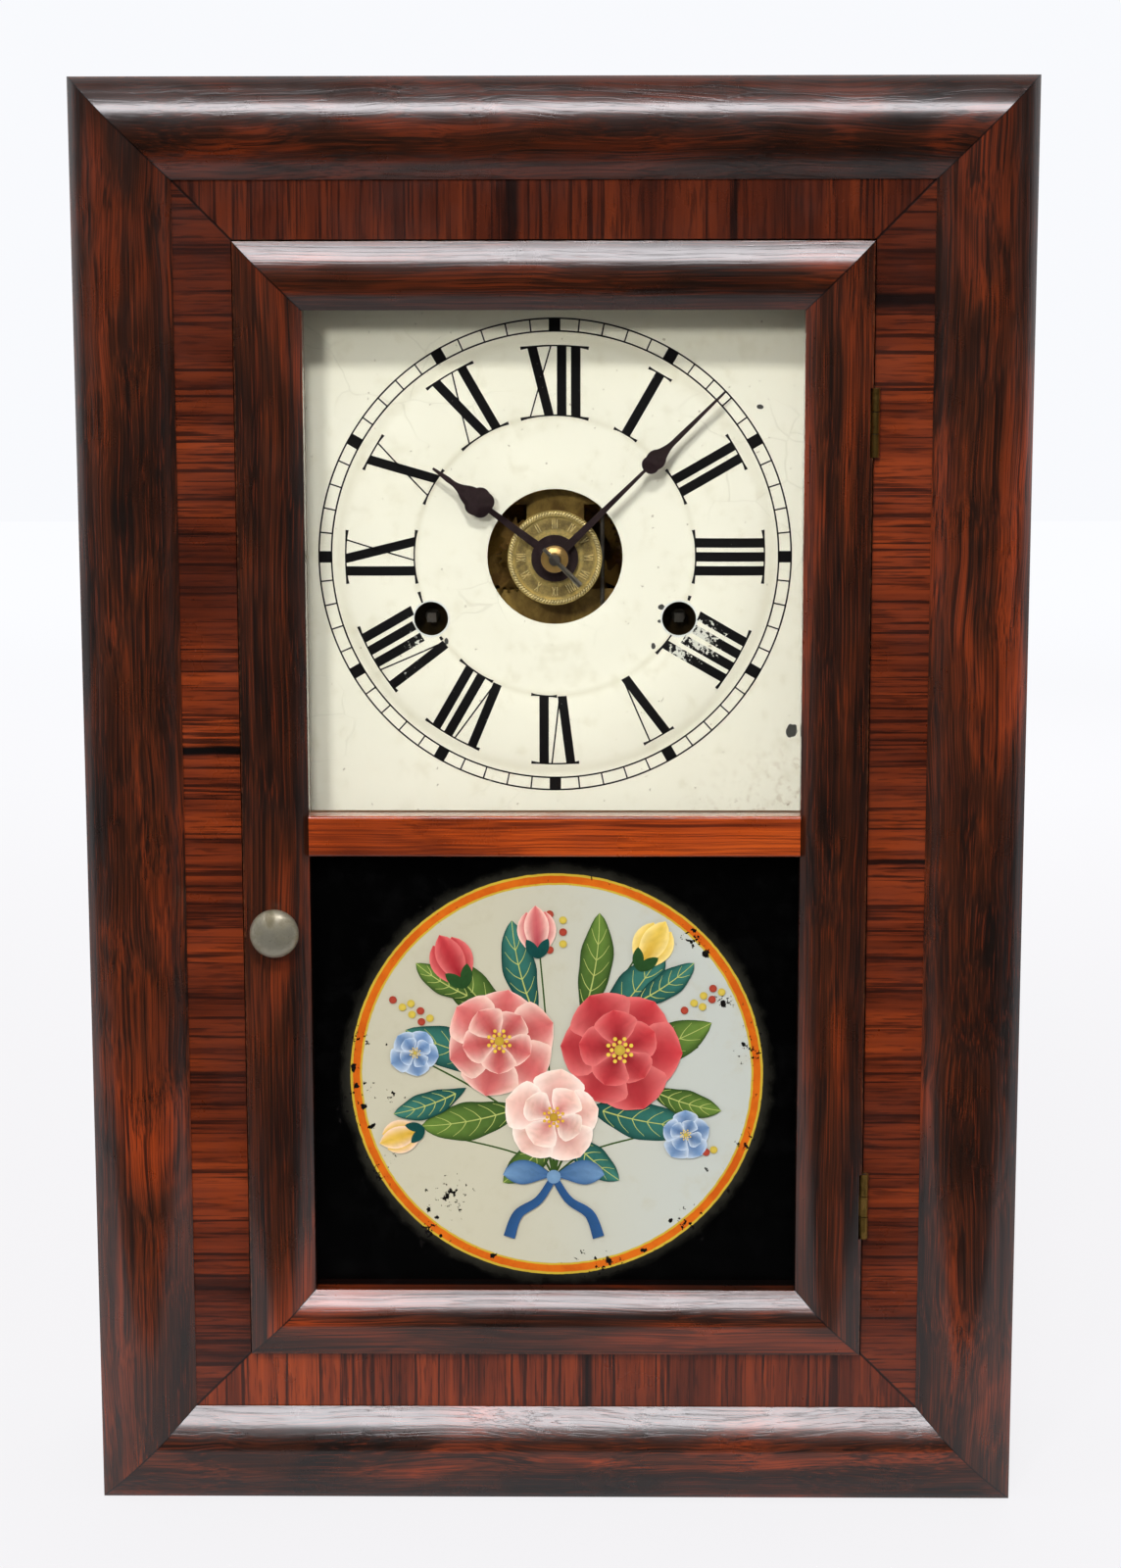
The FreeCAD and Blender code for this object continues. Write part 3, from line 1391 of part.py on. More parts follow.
def make_escapement():
    """The suspension stud, the verge with its crutch, and the pendulum."""
    top = S.suspension_above
    verge_x = arbors["escape"][0]
    wheel_lift = plate_front_lift + S.end_gap * 2
    rod_lift = plate_front_lift + S.pendulum_reach
    rod = S.pendulum_rod_radius
    stud = new_body("suspension_stud")
    post = sketch_on(stud, "XY_Plane", "post", lift=plate_front_lift)
    stud_radius = S.pillar_radius * 0.7
    draw_circle(post, stud_radius, S.pendulum_across, top + stud_radius + S.running_gap)
    pad(post, S.pendulum_reach + rod * 3)
    node(place(stud, 0, dial_y, S.dial_middle, FACING_FRONT))
    verge = new_body("verge")
    arbor_rod(verge, S.arbor_radius, plate_inner_lift, rod_lift + rod)
    strip = sketch_on(verge, "XY_Plane", "pallet_strip", lift=wheel_lift)
    drop = top - arbors["escape"][1]
    inner = S.escape_radius + S.pallet_gap
    outer = drop
    across = math.cos(math.radians(PALLET_END_ANGLE))
    up = math.sin(math.radians(PALLET_END_ANGLE))
    bow = math.tan(math.radians(QUARTER_TURN - PALLET_END_ANGLE) / 2) / 2
    corners = [
        (outer * across, outer * up - drop, bow),
        (-outer * across, outer * up - drop, 0.0),
        (-inner * across, inner * up - drop, -bow),
        (inner * across, inner * up - drop, 0.0),
    ]
    draw_outline(strip, corners)
    pad(strip, S.wheel_thickness)
    crutch = sketch_on(verge, "XY_Plane", "crutch", lift=rod_lift - rod)
    thick = S.crutch_radius
    across = S.pendulum_across - verge_x
    slot = rod + S.crutch_gap
    corners = [
        (0, thick * 2),
        (0, -thick * 2),
        (across - slot - thick * 2, -S.crutch_drop),
        (across - slot, -S.crutch_drop - thick * 2),
        (across - slot, -S.crutch_drop + thick * 4),
    ]
    draw_outline(crutch, corners)
    pad(crutch, rod * 2)
    node(place(verge, verge_x, dial_y, S.dial_middle + top, FACING_FRONT))
    make_pendulum(rod_lift)


def make_pendulum(rod_lift):
    """The suspension spring and rod as one piece, and the lens-shaped bob with its rating nut."""
    rod = S.pendulum_rod_radius
    length = S.pendulum_length
    spring = doc.addObject("Part::Box", "suspension_spring")
    place_from = S.dial_middle + S.suspension_above
    bind(spring, "Length", rod * 0.6)
    bind(spring, "Width", rod * 3)
    bind(spring, "Height", S.bob_radius / 2)
    place(spring, S.pendulum_across - rod * 0.3, dial_y - rod_lift - rod * 1.5, place_from - S.bob_radius / 2)
    wire = doc.addObject("Part::Cylinder", "pendulum_wire")
    bind(wire, "Radius", rod)
    bind(wire, "Height", length + S.bob_radius + S.rating_nut_radius * 2 - S.bob_radius / 2 + rod)
    bottom = place_from - length - S.bob_radius - S.rating_nut_radius * 2
    place(wire, S.pendulum_across, dial_y - rod_lift, bottom)
    fused("pendulum_rod", [spring, wire])
    bob = new_body("pendulum_bob")
    half = sketch_on(bob, "XZ_Plane", "half_section")
    radius = S.bob_radius
    thick = S.bob_thickness
    corners = [
        (0, -thick / 2),
        (radius * 0.75, -thick * 0.36),
        (radius, -S.bob_rim / 2),
        (radius, S.bob_rim / 2),
        (radius * 0.75, thick * 0.36),
        (0, thick / 2),
    ]
    draw_outline(half, corners)
    revolve(half)
    nut = sketch_on(bob, "XZ_Plane", "rating_nut", lift=radius - S.bob_rim)
    draw_circle(nut, S.rating_nut_radius)
    pad(nut, S.bob_rim + S.rating_nut_radius)
    bore = sketch_on(bob, "XZ_Plane", "rod_bore")
    draw_circle(bore, rod)
    pocket(bore)
    node(place(bob, S.pendulum_across, dial_y - rod_lift, place_from - length, FACING_FRONT))


def make_alarm():
    """The alarm works low on the back board: a two-plate frame with its spring drum, arbor and hammer."""
    spot = (S.alarm_across, S.alarm_middle - S.dial_middle)
    board_lift = dial_y - back_board_y
    half_wide = S.alarm_plate_width / 2
    half_tall = S.alarm_plate_height / 2
    thick = S.plate_thickness
    frame = new_body("alarm_frame")
    front_lift = board_lift + thick + S.alarm_plate_gap
    for name, lift in (("back_plate", board_lift), ("front_plate", front_lift)):
        plate = sketch_on(frame, "XY_Plane", name, lift=lift)
        draw_rectangle(plate, (-half_wide, -half_tall), (half_wide, half_tall))
        if name == "front_plate":
            draw_circle(plate, S.winding_square * 0.75 + S.running_gap, 0, -half_tall * 0.4)
        pad(plate, thick)
        if name == "back_plate":
            pillars = sketch_on(frame, "XY_Plane", "pillars", lift=board_lift + thick)
            for side in (-1, 1):
                for up in (-1, 1):
                    spot_x = (half_wide - S.pillar_radius) * side
                    spot_y = (half_tall - S.pillar_radius) * up
                    draw_circle(pillars, S.pillar_radius * 0.6, spot_x, spot_y)
            pad(pillars, S.alarm_plate_gap)
    pivot = sketch_on(frame, "XY_Plane", "hammer_pivot", lift=front_lift + thick)
    draw_circle(pivot, S.arbor_radius, -S.alarm_plate_width * 0.4, -S.alarm_plate_height * 0.38)
    pad(pivot, S.hammer_rod_radius * 2 + S.end_gap)
    node(place(frame, spot[0], dial_y, S.dial_middle + spot[1], FACING_FRONT))
    arbor = new_body("alarm_winding_arbor")
    drum = sketch_on(arbor, "XY_Plane", "drum", lift=board_lift + thick + S.end_gap)
    draw_circle(drum, S.alarm_drum_radius)
    pad(drum, S.alarm_plate_gap * 0.5)
    arbor_rod(arbor, S.winding_square * 0.75, board_lift + thick + S.end_gap, front_lift + thick + S.end_gap)
    square = sketch_on(arbor, "XY_Plane", "square", lift=front_lift + thick + S.end_gap)
    half = S.winding_square / 2
    draw_rectangle(square, (-half, -half), (half, half))
    pad(square, S.alarm_square_length)
    arbor_z = S.dial_middle + spot[1] - half_tall * 0.4
    node(place(arbor, spot[0], dial_y, arbor_z, FACING_FRONT))
    make_alarm_hammer(spot, front_lift + thick)


def make_alarm_hammer(spot, lift):
    """The alarm hammer, pivoted low on the front of the alarm frame, its head beside the gong."""
    body = new_body("alarm_hammer")
    pivot_x = spot[0] - S.alarm_plate_width * 0.4
    pivot_y = spot[1] - S.alarm_plate_height * 0.38
    radius = S.hammer_rod_radius
    start = lift + S.running_gap
    hub = sketch_on(body, "XY_Plane", "hub", lift=start)
    draw_circle(hub, S.pillar_radius)
    pad(hub, radius * 2)
    reach = pivot_x - S.gong_radius - S.gong_wire / 2 - S.hammer_gap - S.hammer_head_radius
    up = S.gong_middle - S.dial_middle - pivot_y
    stem = sketch_on(body, "XY_Plane", "stem", lift=start)
    draw_outline(stem, [(-radius, 0), (-reach - radius, up), (-reach + radius, up), (radius, 0)])
    pad(stem, radius * 2)
    board_lift = dial_y - back_board_y
    head_back = board_lift + S.gong_lift + S.gong_wire / 2 - S.hammer_head_length / 3
    head = sketch_on(body, "XY_Plane", "head", lift=head_back)
    draw_circle(head, S.hammer_head_radius, -reach, up)
    pad(head, start + radius * 2 - head_back)
    bore = sketch_on(body, "XY_Plane", "bore", lift=start)
    draw_circle(bore, S.arbor_radius + S.running_gap)
    pocket(bore)
    node(place(body, pivot_x, dial_y, S.dial_middle + pivot_y, FACING_FRONT))


def check_model():
    """Stop with a plain message if any object failed, any cut removed nothing or any shape is bad."""
    faults = []
    for thing in doc.Objects:
        if "Invalid" in thing.State or "Error" in thing.State:
            faults.append(f"{thing.Label} is {thing.State}")
    for before, feature in cuts:
        if not feature.Shape.isNull() and feature.Shape.Volume >= before.Shape.Volume:
            faults.append(f"{feature.Name} cuts nothing")
    for thing in nodes:
        if thing.Shape.isNull() or not thing.Shape.isValid():
            faults.append(f"{thing.Label} has no valid shape")
    if faults:
        sys.exit("\n".join(faults))


def write_parts():
    """Write each sub-part's solids to a file named after it."""
    os.makedirs("parts", exist_ok=True)
    for thing in nodes:
        thing.Shape.exportStep(f"parts/{thing.Label}.step")
        print(f"{thing.Label}: {len(thing.Shape.Solids)} solids, {thing.Shape.Volume:.1f} cubic mm")


make_case()
make_door()
make_hinges()
make_latch()
make_dial()
make_hands()
make_time_train()
make_motion_work()
make_strike_train()
make_plates()
make_mainsprings()
make_gong()
make_hammer()
make_escapement()
make_alarm()
doc.recompute()
check_model()
write_parts()
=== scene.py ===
import math
import random
import bmesh
import bpy
from mathutils import Matrix, Vector


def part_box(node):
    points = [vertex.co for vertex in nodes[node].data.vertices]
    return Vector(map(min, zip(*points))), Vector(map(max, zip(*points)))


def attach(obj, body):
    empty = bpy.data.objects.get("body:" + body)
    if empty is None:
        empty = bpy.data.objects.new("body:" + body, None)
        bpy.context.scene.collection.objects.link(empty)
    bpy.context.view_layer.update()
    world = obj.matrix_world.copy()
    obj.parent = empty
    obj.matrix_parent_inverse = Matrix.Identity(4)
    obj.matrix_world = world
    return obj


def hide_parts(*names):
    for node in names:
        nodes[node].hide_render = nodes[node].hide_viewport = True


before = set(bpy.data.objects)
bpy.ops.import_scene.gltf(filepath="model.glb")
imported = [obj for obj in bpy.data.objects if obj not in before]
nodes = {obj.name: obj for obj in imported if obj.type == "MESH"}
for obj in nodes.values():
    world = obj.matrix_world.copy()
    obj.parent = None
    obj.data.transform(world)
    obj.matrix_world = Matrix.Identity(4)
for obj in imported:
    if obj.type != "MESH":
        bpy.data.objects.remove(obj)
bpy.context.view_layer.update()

# Sizes in metres, shared with the CAD part
HALF_WIDTH = 0.153
HEIGHT = 0.470
OGEE = 0.032
OGEE_RISE = 0.0085
BAND_Y = -0.039
DOOR_HALF = 0.1018
DOOR_LOW = 0.0512
DOOR_HIGH = 0.4188
DOOR_RAIL = 0.0216
DOOR_RISE = 0.0065
DOOR_BACK = -0.026
REBATE = 0.005
REBATE_Y = -0.034
MORTISES = ((0.0915, 0.1135), (0.3505, 0.3725))
MORTISE_X = 0.10085
MORTISE_CLEAR = 0.002
MORTISE_WALL = 0.00002
STICK_STEPS = 12
DIAL_Y = -0.015
DIAL_Z = 0.3164
DIAL_HALF_WIDTH = 0.094
DIAL_HALF_HEIGHT = 0.091
DIAL_HOLE = 0.0223
DIAL_SHEET = 0.0008
HOLE_LIP = 0.0002
DIAL_SIDES = 180
RING_STEPS = 32
RING_IN = 0.0455
RING_OUT = 0.072
RING_RISE = 0.0009
WINDING_X = 0.041
WINDING_Z = DIAL_Z - 0.0205
WINDING_HOLE = 0.0056
CUT_FRONT = -0.03
CUT_BACK = 0.01
KNOB_RADIUS = 0.008
KNOB_SHANK = 0.00198
KNOB_BACK = -0.0241
KNOB_NECK = -0.0459
KNOB_FRONT = -0.0545
WASHER_RADIUS = 0.0045
WASHER_BORE = 0.00182
TABLET_Y = -0.034
CIRCLE_X = 0.0005
CIRCLE_Z = 0.1452
CIRCLE_RADIUS = 0.0686
BACK_JOINTS = (-0.0466, 0.0493)
NAIL_INSET = 0.0048
NAIL_HEAD = 0.0016
NAIL_SHARES = (0.06, 0.27, 0.49, 0.73, 0.94)
NAIL_PLACES = (-0.088, -0.012, 0.012, 0.09)
OUTER_CORNERS = (HALF_WIDTH, 0.0, HEIGHT)
DOOR_CORNERS = (DOOR_HALF, DOOR_LOW, DOOR_HIGH)
BLACK = (0.0, 0.0, 0.0)

# Faces that meet at more than these angles keep a sharp edge
WOOD_EDGE = math.radians(35)
TURNED_EDGE = math.radians(50)
SHEET_EDGE = math.radians(30)


# Node graph helper

class Graph:
    """Short calls that add shader nodes and join them; a number or colour may stand for any socket."""

    def __init__(self, name, tree=None):
        if tree is None:
            self.material = bpy.data.materials.new(name)
            self.material.use_nodes = True
            tree = self.material.node_tree
        self.tree = tree
        tree.nodes.clear()

    def set(self, socket, value):
        if isinstance(value, bpy.types.NodeSocket):
            self.tree.links.new(value, socket)
        elif isinstance(value, (tuple, list)):
            socket.default_value = tuple(value) + (1.0,) * (len(socket.default_value) - len(value))
        else:
            socket.default_value = value

    def add(self, kind, settings=None, **inputs):
        made = self.tree.nodes.new(kind)
        for key, value in (settings or {}).items():
            setattr(made, key, value)
        for key, value in inputs.items():
            self.set(made.inputs[key.replace("_", " ")], value)
        return made

    def fill(self, made, *values):
        """Set a node's first sockets in their order."""
        for socket, value in zip(made.inputs, values):
            self.set(socket, value)
        return made.outputs[0]

    def place(self, scale=(1, 1, 1), move=(0, 0, 0), source=None):
        if source is None:
            source = self.add("ShaderNodeTexCoord").outputs["Object"]
        return self.add("ShaderNodeMapping", Vector=source, Scale=scale, Location=move).outputs["Vector"]

    def stretched(self, source, along, wide, long):
        scale = [wide, wide, wide]
        scale[along] = long
        return self.place(source=source, scale=scale)

    def noise(self, vector, scale, detail=4.0, rough=0.5, warp=0.0, output="Fac"):
        made = self.add(
            "ShaderNodeTexNoise", Vector=vector, Scale=scale, Detail=detail, Roughness=rough, Distortion=warp
        )
        return made.outputs[output]

    def grain(self, source, along, wide, long, detail=2.0, rough=0.5, warp=0.0):
        """Noise that is drawn out along one axis."""
        return self.noise(self.stretched(source, along, wide, long), 1.0, detail, rough, warp)

    def math(self, operation, a, b=0.0):
        return self.fill(self.add("ShaderNodeMath", {"operation": operation}), a, b)

    def plus(self, a, b):
        return self.math("ADD", a, b)

    def minus(self, a, b):
        return self.math("SUBTRACT", a, b)

    def times(self, a, b):
        return self.math("MULTIPLY", a, b)

    def most(self, a, b):
        return self.math("MAXIMUM", a, b)

    def past(self, a, b):
        return self.math("GREATER_THAN", a, b)

    def apart(self, a, b):
        return self.math("ABSOLUTE", self.minus(a, b))

    def total(self, *terms):
        """The sum of (value, weight) pairs."""
        made = 0.0
        for value, weight in terms:
            made = self.plus(made, self.times(value, weight))
        return made

    def away(self, parts, x, z, tall=1.0):
        """Distance from (x, z) in the front view; tall above 1 makes distances in height count for more."""
        across = self.minus(parts["X"], x)
        upward = self.times(self.minus(parts["Z"], z), tall)
        return self.math("SQRT", self.plus(self.times(across, across), self.times(upward, upward)))

    def ramp(self, value, low, high, out_low=0.0, out_high=1.0, smooth=True):
        made = self.add(
            "ShaderNodeMapRange", {"interpolation_type": "SMOOTHSTEP" if smooth else "LINEAR"}, Value=value,
            From_Min=low, From_Max=high, To_Min=out_low, To_Max=out_high,
        )
        return made.outputs["Result"]

    def fall(self, value, low, high):
        """1 up to low, 0 from high."""
        return self.ramp(value, low, high, 1.0, 0.0)

    def mix(self, share, first, second, kind="MIX"):
        made = self.add("ShaderNodeMix", {"data_type": "RGBA", "blend_type": kind})
        self.set(made.inputs[0], share)
        self.set(made.inputs[6], first)
        self.set(made.inputs[7], second)
        return made.outputs[2]

    def over(self, colour, paint, *shares):
        """Paint laid over a colour, by a ramp of shares."""
        return self.mix(self.ramp(*shares), colour, paint)

    def colours(self, value, *stops):
        made = self.add("ShaderNodeValToRGB", Fac=value)
        elements = made.color_ramp.elements
        while len(elements) < len(stops):
            elements.new(0.5)
        for element, (spot, colour) in zip(elements, stops):
            element.position = spot
            element.color = (*colour, 1.0)
        return made.outputs["Color"]

    def split(self, vector):
        return self.add("ShaderNodeSeparateXYZ", Vector=vector).outputs

    def bend(self, vector, push, reach):
        """A place moved about by a vector noise."""
        made = self.add("ShaderNodeVectorMath", {"operation": "MULTIPLY_ADD"})
        return self.fill(made, push, (reach, reach, reach), vector)

    def jump(self, vector, count, steps):
        """A place moved by steps for each count, so that each piece of wood has its own grain."""
        x, y, z = (self.times(count, step) for step in steps)
        moved = self.add("ShaderNodeCombineXYZ", X=x, Y=y, Z=z)
        return self.fill(self.add("ShaderNodeVectorMath"), vector, moved.outputs[0])

    def bump(self, height, strength=0.2, size=0.001):
        return self.add("ShaderNodeBump", Strength=strength, Distance=size, Height=height).outputs["Normal"]

    def blend(self, share, first, second):
        made = self.add("ShaderNodeMixShader")
        return self.fill(made, share, first.outputs[0], second.outputs[0])

    def show(self, surface, kind="ShaderNodeOutputMaterial"):
        self.add(kind, Surface=surface)

    def finish(self, colour, roughness=0.5, normal=None, **inputs):
        shader = self.add("ShaderNodeBsdfPrincipled", Base_Color=colour, Roughness=roughness, **inputs)
        if normal is not None:
            self.set(shader.inputs["Normal"], normal)
            if "Coat_Weight" in inputs:
                self.set(shader.inputs["Coat Normal"], normal)
        self.show(shader.outputs["BSDF"])
        return self.material


def rgb(red, green, blue):
    """A colour as it shows on screen, 0 to 255, turned to the linear values that shaders take."""
    made = []
    for value in (red, green, blue):
        share = value / 255
        made.append(share / 12.92 if share <= 0.04045 else ((share + 0.055) / 1.055) ** 2.4)
    return tuple(made)


# Mesh helpers

def turn_outward(mesh):
    """Make every face of a closed mesh look outward."""
    held = bmesh.new()
    held.from_mesh(mesh)
    bmesh.ops.recalc_face_normals(held, faces=held.faces)
    held.to_mesh(mesh)
    held.free()


def piece(name, points, faces, body, material, smooth=False, colours=None):
    """A mesh object that rides on a body; colours are one per point."""
    mesh = bpy.data.meshes.new(name)
    mesh.from_pydata([tuple(point) for point in points], [], faces)
    mesh.validate()
    if colours is not None:
        layer = mesh.color_attributes.new("paint", "FLOAT_COLOR", "POINT")
        for item, colour in zip(layer.data, colours):
            item.color = tuple(colour) + (1.0,)
    mesh.materials.append(material)
    mesh.polygons.foreach_set("use_smooth", [smooth] * len(mesh.polygons))
    made = bpy.data.objects.new(name, mesh)
    bpy.context.collection.objects.link(made)
    if body:
        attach(made, body)
    return made


def dress(material, names):
    """Give CAD nodes a procedural material."""
    for name in names:
        mesh = nodes[name].data
        mesh.materials.clear()
        mesh.materials.append(material)
        for face in mesh.polygons:
            face.material_index = 0


# Camera at the photograph's viewing angle

CAMERA_SPOT = (0.0135, -1.0469, 0.4124)
CAMERA_PITCH = math.radians(9.459)
CAMERA_YAW = math.radians(-0.654)
CAMERA_ROLL = math.radians(-0.083)


def make_camera():
    """The camera that was fitted to the photograph, turned by its pitch, yaw and roll."""
    data = bpy.data.cameras.new("camera")
    data.lens = 72.0
    data.sensor_width = 36.0
    data.sensor_fit = "AUTO"
    data.clip_start = 0.01
    camera = bpy.data.objects.new("camera", data)
    bpy.context.collection.objects.link(camera)
    pitch, yaw, roll = CAMERA_PITCH, CAMERA_YAW, CAMERA_ROLL
    ahead = Vector((math.sin(yaw) * math.cos(pitch), math.cos(yaw) * math.cos(pitch), -math.sin(pitch)))
    right = Vector((math.cos(yaw), -math.sin(yaw), 0.0))
    up = right.cross(ahead)
    across = right * math.cos(roll) + up * math.sin(roll)
    upward = up * math.cos(roll) - right * math.sin(roll)
    turned = Matrix((across, upward, -ahead)).transposed().to_4x4()
    camera.matrix_world = Matrix.Translation(CAMERA_SPOT) @ turned
    bpy.context.scene.camera = camera


LAMP_AIM = (0.0, 0.0, 0.25)
FLOOR_REACH = 4.0
FLOOR_FRONT = -0.2


def lamp(name, spot, aim, size, power, colour=(1.0, 1.0, 1.0), glossy=True, diffuse=True):
    data = bpy.data.lights.new(name, "AREA")
    data.shape = "RECTANGLE"
    data.size, data.size_y = size
    data.energy = power
    data.color = colour
    made = bpy.data.objects.new(name, data)
    bpy.context.collection.objects.link(made)
    made.location = spot
    made.rotation_euler = (Vector(aim) - Vector(spot)).to_track_quat("-Z", "Y").to_euler()
    made.visible_glossy = glossy
    made.visible_diffuse = diffuse
    made.visible_camera = False
    return made


def make_light():
    """A softbox for the highlights, small lamps for the shadows, and a world that is weaker from below."""
    softbox = {"colour": (1.0, 0.965, 1.0), "diffuse": False}
    for name, spot, size, power, extra in (
        ("gloss_softbox", (-0.08, -1.02, 1.45), (1.5, 0.36), 17.0, softbox),
        ("top_lamp", (-0.05, -1.3, 1.35), (0.2, 0.15), 13.0, {"glossy": False}),
        ("left_lamp", (-0.40, -1.45, 0.8), (0.2, 0.15), 9.0, {"glossy": False}),
        ("left_fill", (-1.5, -0.5, 0.6), (0.8, 1.0), 4.0, {"glossy": False}),
        ("right_fill", (1.5, -0.5, 0.6), (0.8, 1.0), 3.0, {"glossy": False}),
        ("back_fill", (0.3, 1.6, 1.0), (1.2, 0.8), 12.0, {}),
    ):
        lamp(name, spot, LAMP_AIM, size, power, **extra)
    world = bpy.data.worlds.new("studio")
    bpy.context.scene.world = world
    world.use_nodes = True
    g = Graph("studio", world.node_tree)
    paths = g.add("ShaderNodeLightPath").outputs
    parts = g.split(g.add("ShaderNodeTexCoord").outputs["Generated"])
    reflected = g.most(paths["Is Glossy Ray"], paths["Is Transmission Ray"])
    seen = g.most(paths["Is Camera Ray"], g.times(reflected, g.ramp(parts["Y"], -0.4, 0.3)))
    from_above = g.ramp(parts["Z"], -0.35, 0.15, 0.12, 0.62, False)
    strength = g.most(g.times(from_above, g.minus(1.0, reflected)), seen)
    background = g.add("ShaderNodeBackground", Color=(0.945, 0.955, 0.985), Strength=strength)
    g.show(background.outputs[0], "ShaderNodeOutputWorld")


def make_floor():
    """A pale plain floor that keeps the clock's shadow."""
    g = Graph("stage_floor")
    paths = g.add("ShaderNodeLightPath").outputs
    colour = g.mix(g.noise(g.place(), 900.0, 2.0), rgb(226, 225, 228), rgb(232, 231, 234))
    colour = g.mix(g.times(paths["Is Glossy Ray"], 0.55), colour, BLACK)
    shade = g.add("ShaderNodeBsdfDiffuse", Color=colour)
    away = g.ramp(g.split(g.place())["Y"], 0.1, 3.0)
    glow = g.add(
        "ShaderNodeEmission", Color=g.mix(away, rgb(246, 245, 247), rgb(250, 251, 254)),
        Strength=g.plus(1.0, g.times(away, 0.075)),
    )
    g.show(g.blend(g.times(paths["Is Camera Ray"], 0.9), shade, glow))
    reach, front = FLOOR_REACH, FLOOR_FRONT
    points = [(-reach, front, 0.0), (reach, front, 0.0), (reach, reach, 0.0), (-reach, reach, 0.0)]
    piece("stage_floor", points, [(0, 1, 2, 3)], None, g.material)


bpy.context.scene.view_settings.view_transform = "Standard"
make_camera()
make_light()
make_floor()


# Woods

def to_edges(g, parts, corners):
    """Distances to a frame's nearest side edge and nearest level edge; they match on its mitres."""
    half, low_edge, high_edge = corners
    sideways = g.minus(half, g.math("ABSOLUTE", parts["X"]))
    upright = g.math("MINIMUM", g.minus(parts["Z"], low_edge), g.minus(high_edge, parts["Z"]))
    return sideways, upright


def rosewood(name, along, seed, shades, figure=1.0, streaks=1.0, corners=None):
    """Polished dark rosewood: clouded figure, long streaks and fine grain along one axis, 0 for X, 2 for Z.
    corners is a frame's half width, low edge and high edge: its top gets painted shade, its mitres get a dark
    line, its edges wear."""
    dark, middle, light = shades
    g = Graph(name)
    base = g.place(move=(seed * 1.7, seed * 0.9, seed * 2.3))
    clouds = g.grain(base, along, 34.0, 9.0, 3.0, 0.55, 0.8 * figure)
    swirl = g.noise(g.stretched(base, along, 26.0, 11.0), 1.0, 2.0, output="Color")
    bent = g.bend(base, swirl, 0.011 * figure)
    streak = g.grain(bent, along, 230.0, 3.5, 3.0, 0.55)
    fine = g.grain(bent, along, 1100.0, 9.0, 3.0, 0.6)
    hair = g.grain(bent, along, 2600.0, 18.0)
    tone = g.total((clouds, 0.78), (streak, 0.20 * streaks), (fine, 0.14))
    centre = 0.46 + 0.10 * streaks
    colour = g.colours(tone, (centre - 0.12, dark), (centre + 0.02, middle), (centre + 0.17, light))
    colour = g.over(colour, dark, streak, 0.32, 0.46, 0.5 * streaks, 0.0)
    pores = g.ramp(fine, 0.38, 0.47, 0.72, 0.0)
    colour = g.mix(pores, colour, dark)
    colour = g.over(colour, dark, hair, 0.40, 0.52, 0.55, 0.0)
    colour = g.over(colour, light, hair, 0.55, 0.68, 0.0, 0.26)
    if corners:
        parts = g.split(g.place())
        sideways, upright = to_edges(g, parts, corners)
        # Painted shade: the wood darkens towards the top of the frame, where the top members face down, away
        # from the light.
        colour = g.over(colour, dark, parts["Z"], 0.36, 0.455, 0.0, 0.5)
        colour = g.over(colour, rgb(8, 5, 4), g.apart(sideways, upright), 0.00012, 0.00055, 0.85, 0.0)
        near_edge = g.fall(g.math("MINIMUM", sideways, upright), 0.0001, 0.0008)
        in_front = g.math("LESS_THAN", parts["Y"], BAND_Y + 0.0004)
        rubbed = g.ramp(g.noise(base, 520.0, 4.0, 0.65), 0.42, 0.7)
        worn = g.times(g.times(near_edge, in_front), rubbed)
        colour = g.mix(g.times(worn, 0.4), colour, rgb(126, 74, 42))
    shine = g.ramp(g.noise(base, 45.0, 5.0, 0.62), 0.3, 0.75, 0.26, 0.36)
    normal = g.bump(g.minus(g.noise(base, 48.0, 2.0), g.times(pores, 0.22)), 0.12, 0.0007)
    return g.finish(colour, shine, normal, Coat_Weight=1.0, Coat_Roughness=0.15, Coat_IOR=1.55)


